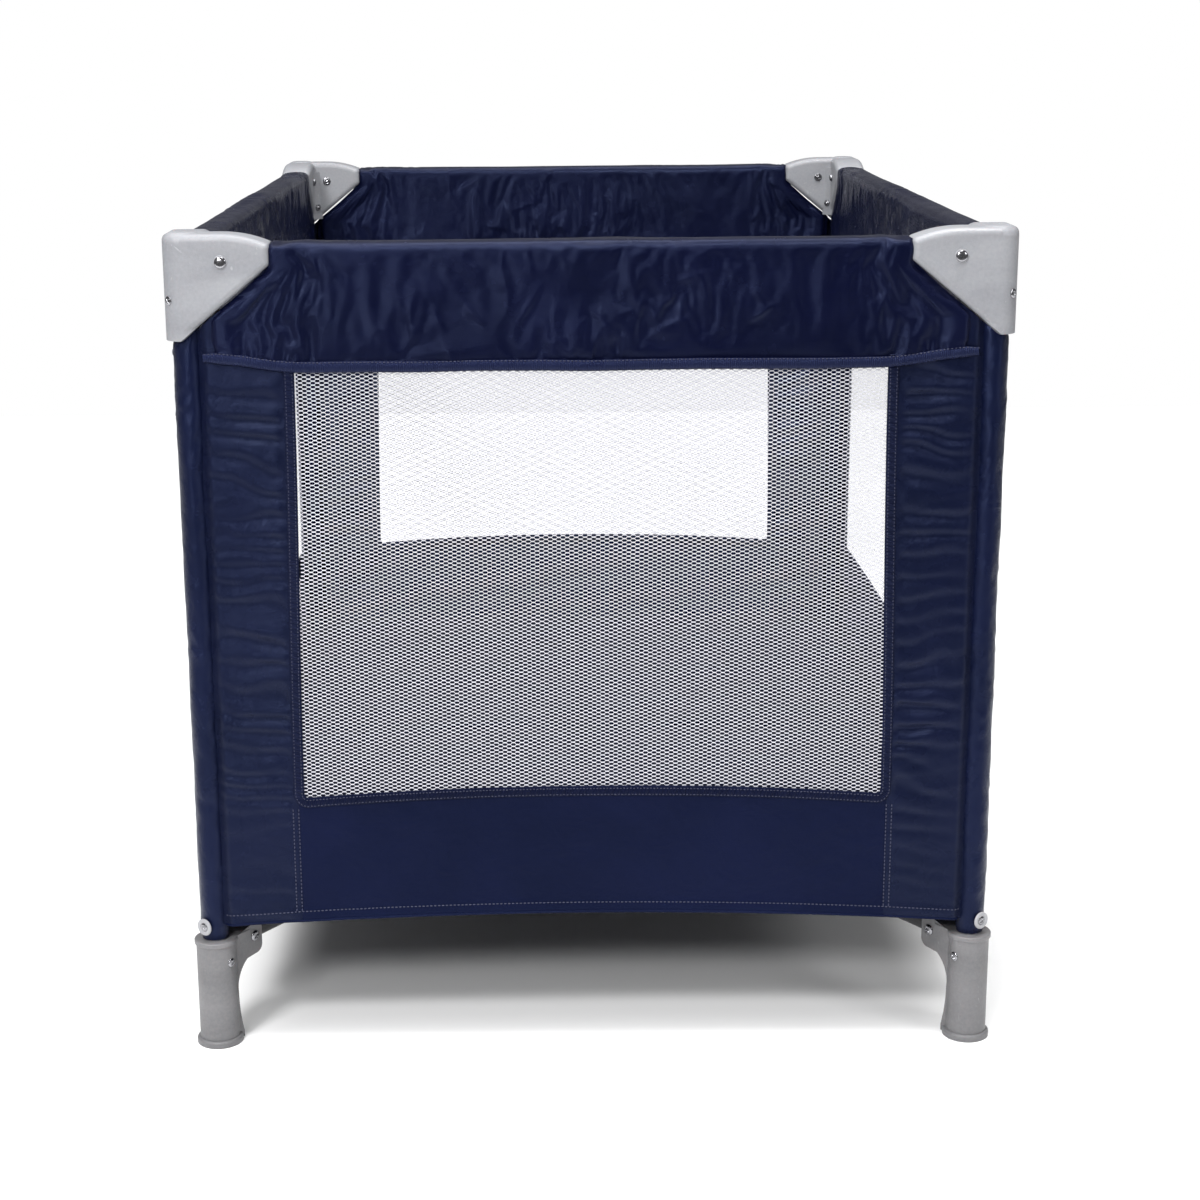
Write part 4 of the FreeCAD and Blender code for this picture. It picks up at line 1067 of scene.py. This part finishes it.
def quadrant_grid(reach_x, reach_y, corner_round, cell):
    """Rows from the middle to a rounded outer corner: x and y of each point, and its distance to the edge."""
    rows = int(reach_y / cell)
    columns = int(reach_x / cell)
    spread = np.linspace(0, 1, rows)
    y = reach_y * spread
    over = np.clip(y - (reach_y - corner_round), 0, corner_round)
    row_reach = reach_x - corner_round + np.sqrt(corner_round ** 2 - over ** 2)
    u = np.linspace(0, 1, columns)
    x = row_reach[:, None] * u[None, :]
    y = np.broadcast_to(y[:, None], x.shape)
    cx, cy = reach_x - corner_round, reach_y - corner_round
    to_corner = corner_round - np.hypot(np.maximum(x - cx, 0), np.maximum(y - cy, 0))
    gap = np.minimum(np.minimum(x, y), np.minimum(reach_x - x, reach_y - y))
    gap = np.where((x > cx) & (y > cy), np.minimum(gap, to_corner), gap)
    return x, y, np.maximum(gap, 0)


def add_quadrant(name, corner, points, faces, finish, whole):
    """A quarter of the floor on its base bar, which carries it."""
    replaced = [whole] if corner == "front_left" else ()
    uv = (points[:, 0], points[:, 1])
    piece = add_piece(name + corner, points, [faces], finish, "base_bar_" + corner, replaced, uv)
    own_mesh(piece)
    return piece


def edge_cord(x, y, z):
    """A piping cord round the edge of a grid of points, at one height."""
    grid = np.stack([x, y], axis=-1)
    edge = np.concatenate([grid[0], grid[1:, -1], grid[-1, -2::-1], grid[-2::-1, 0]])
    path = np.concatenate([edge, np.full((len(edge), 1), z)], axis=1)
    keep = np.concatenate([[True], np.linalg.norm(np.diff(path, axis=0), axis=1) > 1e-5])
    return tube_along(path[keep], 2.1 * MM, 8)


def mat_panel(corner):
    """One of the mat's four padded panels, puckered along its piped edge."""
    sx, sy = CORNERS[corner]
    reach_x, reach_y = MAT_BOX[1].x - 1.5 * MM, MAT_BOX[1].y - 1.5 * MM
    x, y, gap = quadrant_grid(reach_x - 1.0 * MM, reach_y - 1.0 * MM, MAT_ROUND, 5.0 * MM)
    seed = 91 + sx * 2 + sy * 5
    side_round = np.clip(gap / (9 * MM), 0, 1)
    share = np.sqrt(1 - (1 - side_round) ** 2)
    thick = (MAT_BOX[1].z - MAT_BOX[0].z) / 2
    mid_z = (MAT_BOX[1].z + MAT_BOX[0].z) / 2
    soft = 0.9 * noise(x / 0.11, y / 0.12, seed) + 0.5 * noise(x / 0.045, y / 0.05, seed + 1)
    phase = 2 * math.pi * (x + y) / (19 * MM) + 3 * noise(x / 0.05, y / 0.05, seed + 2)
    pucker = np.exp(-gap / 0.022) * np.sin(phase)
    lift = thick - 1.0 * MM + MM * (soft * 0.7 - 0.4)
    top = mid_z + share * np.minimum(lift, thick) + 0.5 * MM * pucker * share
    bottom = mid_z - share * (thick - 0.4 * MM)
    rows, columns = x.shape
    wx, wy = sx * (x + 1.0 * MM), sy * (y + 1.0 * MM)
    upper = np.stack([wx, wy, np.minimum(top, MAT_BOX[1].z)], axis=-1).reshape(-1, 3)
    lower = np.stack([wx, wy, bottom], axis=-1).reshape(-1, 3)
    faces = grid_faces(rows, columns)
    if sx * sy < 0:
        faces = faces[:, ::-1]
    points = np.concatenate([upper, lower])
    both = np.concatenate([faces, faces[:, ::-1] + rows * columns])
    points, both = merged([(points, both), edge_cord(wx, wy, mid_z)])
    add_quadrant("mat_panel_", corner, points, both, MAT, "mattress")


def floor_panel(corner):
    """A quarter of the canvas floor, sagging a little between the base bars."""
    sx, sy = CORNERS[corner]
    reach_x, reach_y = FLOOR_BOX[1].x, FLOOR_BOX[1].y
    x, y, gap = quadrant_grid(reach_x, reach_y, CANVAS_ROUND, 8.0 * MM)
    seed = 131 + sx * 2 + sy * 5
    off_bar = np.abs(x * LEG_Y - y * LEG_X) / DIAGONAL
    sag = 2.0 * MM * ramp(off_bar / 0.12) * ramp(gap / 0.02)
    uneven = 0.5 * MM * noise(x / 0.06, y / 0.06, seed) * ramp(gap / 0.02)
    z = FLOOR_BOX[1].z - 0.8 * MM - sag * 0.6 + uneven
    from_wall = np.minimum(reach_x - x, reach_y - y)
    z = z + CANVAS_TURN_UP * (1 - ramp(from_wall / (15 * MM)))
    rows, columns = x.shape
    points = np.stack([sx * x, sy * y, z], axis=-1).reshape(-1, 3)
    faces = grid_faces(rows, columns)
    piece = add_quadrant("floor_canvas_", corner, points, faces, LINING, "floor_cloth")


for corner in CORNERS:
    mat_panel(corner)
    floor_panel(corner)

# ------------------------------------------------------------------ bolts, rivets and nuts

HARDWARE_SIDES = 40


def polar_part(centre, axis, profile, hexagon=0.0, recess=None, spin=0.0):
    """A turned part from (radius, height) pairs; hexagon flattens six sides, recess cuts a cross."""
    axis = Vector(axis).normalized()
    first = axis.orthogonal().normalized()
    second = axis.cross(first)
    centre, axis = np.array(centre), np.array(axis)
    turn = np.linspace(0, 2 * math.pi, HARDWARE_SIDES, endpoint=False) + spin
    radius, height = np.array(profile, float).T * MM
    r = np.broadcast_to(radius[:, None], (len(radius), HARDWARE_SIDES)).copy()
    h = np.broadcast_to(height[:, None], r.shape).copy()
    if hexagon:
        flat = np.cos(math.pi / 6) / np.cos((turn - spin + math.pi / 6) % (math.pi / 3) - math.pi / 6)
        r = r * (1 - hexagon + hexagon * flat)[None, :]
    if recess:
        arm, width, depth = (x * MM for x in recess)
        x, y = r * np.cos(turn), r * np.sin(turn)
        across = np.minimum(np.abs(x), np.abs(y))
        along = np.maximum(np.abs(x), np.abs(y))
        cut = (1 - ramp((across - width) / (0.25 * MM))) * (1 - ramp((along - arm) / (0.3 * MM)))
        h = h - depth * cut * (h > 0.3 * h.max())
    points = (centre + r[..., None] * (np.cos(turn)[None, :, None] * np.array(first)
                                       + np.sin(turn)[None, :, None] * np.array(second))
              + h[..., None] * axis)
    quads = grid_faces(len(radius), HARDWARE_SIDES, wrap=True)
    return points.reshape(-1, 3), quads


def dome(radius, height, flange=0.4, steps=9):
    """Profile of a domed head, from its rim at the seat to its crown."""
    rise = np.linspace(0, math.pi / 2, steps)
    curve = [(radius * math.cos(a), flange + (height - flange) * math.sin(a)) for a in rise[:-1]]
    return [(radius * 0.97, 0.0), (radius, flange * 0.5)] + curve + [(0.35, height), (0.02, height)]


def fine_dome(radius, height, flange=0.4):
    """The same head with rings close enough together for a recess to be cut in it."""
    rings = np.linspace(1, 0.03, 26)
    curve = [(radius * q, flange + (height - flange) * math.sqrt(max(1 - q * q, 0))) for q in rings]
    return [(radius * 0.97, 0.0), (radius, flange * 0.5)] + curve + [(0.02, height)]


def washer(inner, outer, thick):
    """Profile of a ring with rounded edges."""
    edge = min(0.4, thick * 0.3)
    return [(outer - edge * 0.4, 0.0), (outer, edge), (outer, thick - edge), (outer - edge, thick),
            (inner + edge, thick), (inner, thick - edge), (inner * 0.9, thick * 0.25), (0.02, thick * 0.25)]


def nut(radius, thick):
    """Profile of a nut with the end of its bolt standing in it."""
    return [(radius * 0.98, 0.0), (radius, 0.3), (radius, thick - 0.5), (radius * 0.9, thick - 0.05),
            (radius * 0.62, thick), (radius * 0.52, thick - 0.5), (radius * 0.5, thick + 0.5),
            (0.02, thick + 0.7)]


def screw(centre, axis, head, recess, spin=0.0):
    """A head of (radius, height, flange) with a cross of (arm, width, depth) cut in it."""
    return polar_part(centre, axis, fine_dome(*head), 0.0, recess, spin)


def hex_nut(centre, axis, radius, thick, spin=0.0):
    return polar_part(centre, axis, nut(radius, thick), 1.0, None, spin)


def hardware(name, parts, finish, body, replaces=()):
    """Several turned parts as one piece."""
    points, faces = merged(parts)
    return add_piece(name, points, [faces], finish, body, replaces)


# distances in millimetres from the middle of the leg, cap, arm, hub or latch that they are on
RAIL_PIVOT_IN = 34
CAP_OUT = 18
CAP_SCREW_OUT = 17.8
CAP_NUT_IN = 43 / math.sqrt(2)
ARM_IN = 38
ARM_HALF = 14
COLUMN_OUT = 17.9
BUTTON_OUT = 13.6
HUB_PIN_OUT = 66
LATCH_HALF = 13
# heights in metres
RAIL_PIVOT_Z = Vector(JOINTS["short_rail_fold_front_left"]["pos_m"]).z
CAP_SCREW_Z = 0.699
BUTTON_Z = 0.1185
ARM_Z = FOOT_PIVOT.z
COLUMN_Z = 0.082
# heads as radius, height and flange, and the cross cut in them as arm, width and depth, in millimetres
ARM_HEAD, ARM_CROSS = (5.2, 2.4, 0.5), (2.7, 0.55, 1.3)
CAP_HEAD, CAP_CROSS = (4.0, 1.6, 0.3), (2.2, 0.45, 1.0)
COLUMN_HEAD, COLUMN_CROSS = (4.4, 2.2, 0.6), (2.4, 0.5, 1.1)
BUTTON_CROSS = (2.3, 0.45, 1.0)


def corner_hardware(corner):
    """Rail rivets and collars, the cap's corner screw and nut, the foot's bolts, and the sleeve's button."""
    sx, sy = CORNERS[corner]
    leg = middle("leg_tube_" + corner)
    metal, pale = [], []

    def on_leg(height, axis, out):
        return Vector((leg.x, leg.y, height)) + axis * out * MM

    for along, outward in (((-sx, 0, 0), (0, sy, 0)), ((0, -sy, 0), (sx, 0, 0))):
        along, outward = Vector(along), Vector(outward)
        pivot = on_leg(RAIL_PIVOT_Z, along, RAIL_PIVOT_IN)
        face, back = pivot + outward * CAP_OUT * MM, pivot - outward * CAP_OUT * MM
        pale.append(polar_part(face, outward, washer(4.4, 6.0, 0.7)))
        metal.append(polar_part(face + outward * 0.2 * MM, outward, dome(5.2, 2.7, 0.8)))
        metal.append(polar_part(back, -outward, washer(3.2, 5.0, 0.9)))
        metal.append(hex_nut(back - outward * 0.8 * MM, -outward, 4.4, 2.0, 0.3))
    diagonal = Vector((sx, sy, 0)).normalized()
    metal.append(screw(on_leg(CAP_SCREW_Z, diagonal, CAP_SCREW_OUT), diagonal, CAP_HEAD, CAP_CROSS, 0.5))
    metal.append(hex_nut(on_leg(CAP_SCREW_Z, -diagonal, CAP_NUT_IN), -diagonal, 4.4, 2.2))
    inward = INWARD[corner]
    across = Vector((-inward.y, inward.x, 0))
    facing = across if across.y * sy > 0 else -across
    arm = on_leg(ARM_Z, inward, ARM_IN)
    metal.append(screw(arm + facing * ARM_HALF * MM, facing, ARM_HEAD, ARM_CROSS, 0.3))
    metal.append(hex_nut(arm - facing * ARM_HALF * MM, -facing, 4.6, 2.6))
    metal.append(screw(on_leg(COLUMN_Z, facing, COLUMN_OUT), facing, COLUMN_HEAD, COLUMN_CROSS, 0.2))
    metal.append(hex_nut(on_leg(COLUMN_Z, -facing, COLUMN_OUT), -facing, 4.2, 2.2))
    button = on_leg(BUTTON_Z, -inward, BUTTON_OUT)
    pale.append(polar_part(button, -inward, washer(4.2, 8.0, 1.9)))
    metal.append(screw(button - inward * 0.9 * MM, -inward, CAP_HEAD, BUTTON_CROSS, 0.4))
    hardware("bolts_" + corner, metal, NICKEL, "leg_" + corner, ["fasteners_" + corner])
    hardware("bolt_rings_" + corner, pale, RING, "leg_" + corner)


def hub_hardware():
    """The bolts that hold the base bars in the hub."""
    metal = []
    for inward in INWARD.values():
        across = Vector((-inward.y, inward.x, 0))
        pin = -inward * HUB_PIN_OUT * MM + Vector((0, 0, HUB_PIVOT.z))
        metal.append(screw(pin + across * ARM_HALF * MM, across, ARM_HEAD, ARM_CROSS))
        metal.append(hex_nut(pin - across * ARM_HALF * MM, -across, 4.6, 2.6))
    hardware("hub_bolts", metal, NICKEL, "base_hub", ["base_hub_bolts"])


def latch_hardware(side):
    """Both ends of the two pins through a latch housing."""
    pin_reach = abs(Vector(JOINTS["latch_level_" + side.name]["pos_m"]).dot(side.along))
    metal = []
    for sign in (-1, 1):
        spot = side.outward * side.plane + side.along * sign * pin_reach + Vector((0, 0, RAIL_PIVOT_Z))
        for way in (side.outward, -side.outward):
            metal.append(polar_part(spot + way * LATCH_HALF * MM, way, dome(4.6, 1.4, 0.4)))
    hardware("latch_rivets_" + side.name, metal, NICKEL, "rail_latch_" + side.name,
             ["latch_pins_" + side.name])


for corner in CORNERS:
    corner_hardware(corner)
hub_hardware()
for side in SIDES:
    latch_hardware(side)

# ------------------------------------------------------------------ floor, light and camera

FLOOR_X = 2.4
FLOOR_FRONT = -1.4
FLOOR_REAR = 3.0
FLOOR_DROP = -0.5 * MM      # just under the feet
CAMERA_PLACE = (-0.0450, -2.459, 0.9285)
CAMERA_PITCH = 0.2519
CAMERA_ROLL = -0.0088


def pale_floor():
    corners = [(-FLOOR_X, FLOOR_FRONT), (FLOOR_X, FLOOR_FRONT), (FLOOR_X, FLOOR_REAR), (-FLOOR_X, FLOOR_REAR)]
    mesh = new_mesh("floor", [(x, y, FLOOR_DROP) for x, y in corners], [(0, 1, 2, 3)], smooth=False)
    shade = Shade("floor_pale", Base_Color=(0.92, 0.92, 0.92, 1), Roughness=0.8, Specular_IOR_Level=0.1)
    mesh.materials.append(shade.material)
    return placed("floor", mesh)


def studio_world():
    """A dim sky that lights the playpen, seen by the camera as white paper."""
    world = bpy.data.worlds.new("studio")
    world.use_nodes = True
    nodes, links = world.node_tree.nodes, world.node_tree.links
    sky = nodes["Background"]
    sky.inputs["Color"].default_value = (1, 1, 1, 1)
    sky.inputs["Strength"].default_value = 0.20
    paper = nodes.new("ShaderNodeBackground")
    paper.inputs["Color"].default_value = (1, 1, 1, 1)
    seen = nodes.new("ShaderNodeLightPath")
    pick = nodes.new("ShaderNodeMixShader")
    links.new(seen.outputs["Is Camera Ray"], pick.inputs[0])
    links.new(sky.outputs[0], pick.inputs[1])
    links.new(paper.outputs[0], pick.inputs[2])
    links.new(pick.outputs[0], nodes["World Output"].inputs["Surface"])
    return world


def overhead_sun():
    data = bpy.data.lights.new("overhead", "SUN")
    data.energy = 3.2
    data.angle = 1.1
    sun = placed("overhead", data)
    sun.rotation_euler = (math.radians(-3), math.radians(-6), 0)
    return sun


def area_light(name, place, aim, size, power):
    data = bpy.data.lights.new(name, "AREA")
    data.shape = "RECTANGLE"
    data.size, data.size_y = size
    data.energy = power
    lamp = placed(name, data)
    lamp.location = place
    lamp.rotation_euler = (Vector(aim) - Vector(place)).to_track_quat("-Z", "Y").to_euler()
    lamp.visible_camera = False
    return lamp


def front_camera():
    """In front of a short side, a little above the pen and looking down at it."""
    data = bpy.data.cameras.new("camera")
    data.lens = 67.27
    data.sensor_width = 36
    data.shift_x = 0.0488
    camera = placed("camera", data)
    ahead = Vector((0, math.cos(CAMERA_PITCH), -math.sin(CAMERA_PITCH)))
    level = Vector((1, 0, 0))
    upright = level.cross(ahead)
    right = level * math.cos(CAMERA_ROLL) + upright * math.sin(CAMERA_ROLL)
    above = upright * math.cos(CAMERA_ROLL) - level * math.sin(CAMERA_ROLL)
    turn = Matrix((right, above, -ahead)).transposed().to_4x4()
    camera.matrix_world = Matrix.Translation(CAMERA_PLACE) @ turn
    return camera


floor = pale_floor()
lights = [
    overhead_sun(),
    area_light("key_light", (-1.3, -2.4, 2.5), (0, -0.5, 0.5), (0.6, 0.45), 60),
    area_light("low_key", (-0.9, -2.8, 1.6), (0, -0.5, 0.45), (1.0, 0.35), 34),
    area_light("fill_light", (2.2, -2.2, 1.6), (0, 0, 0.4), (0.7, 0.7), 14),
    area_light("inner_light", (0.4, -0.9, 2.7), (0, 0.5, 0.7), (0.6, 0.6), 34),
]
camera = front_camera()
bpy.context.scene.world = studio_world()
bpy.context.scene.view_settings.view_transform = "Standard"
bpy.context.scene.camera = camera
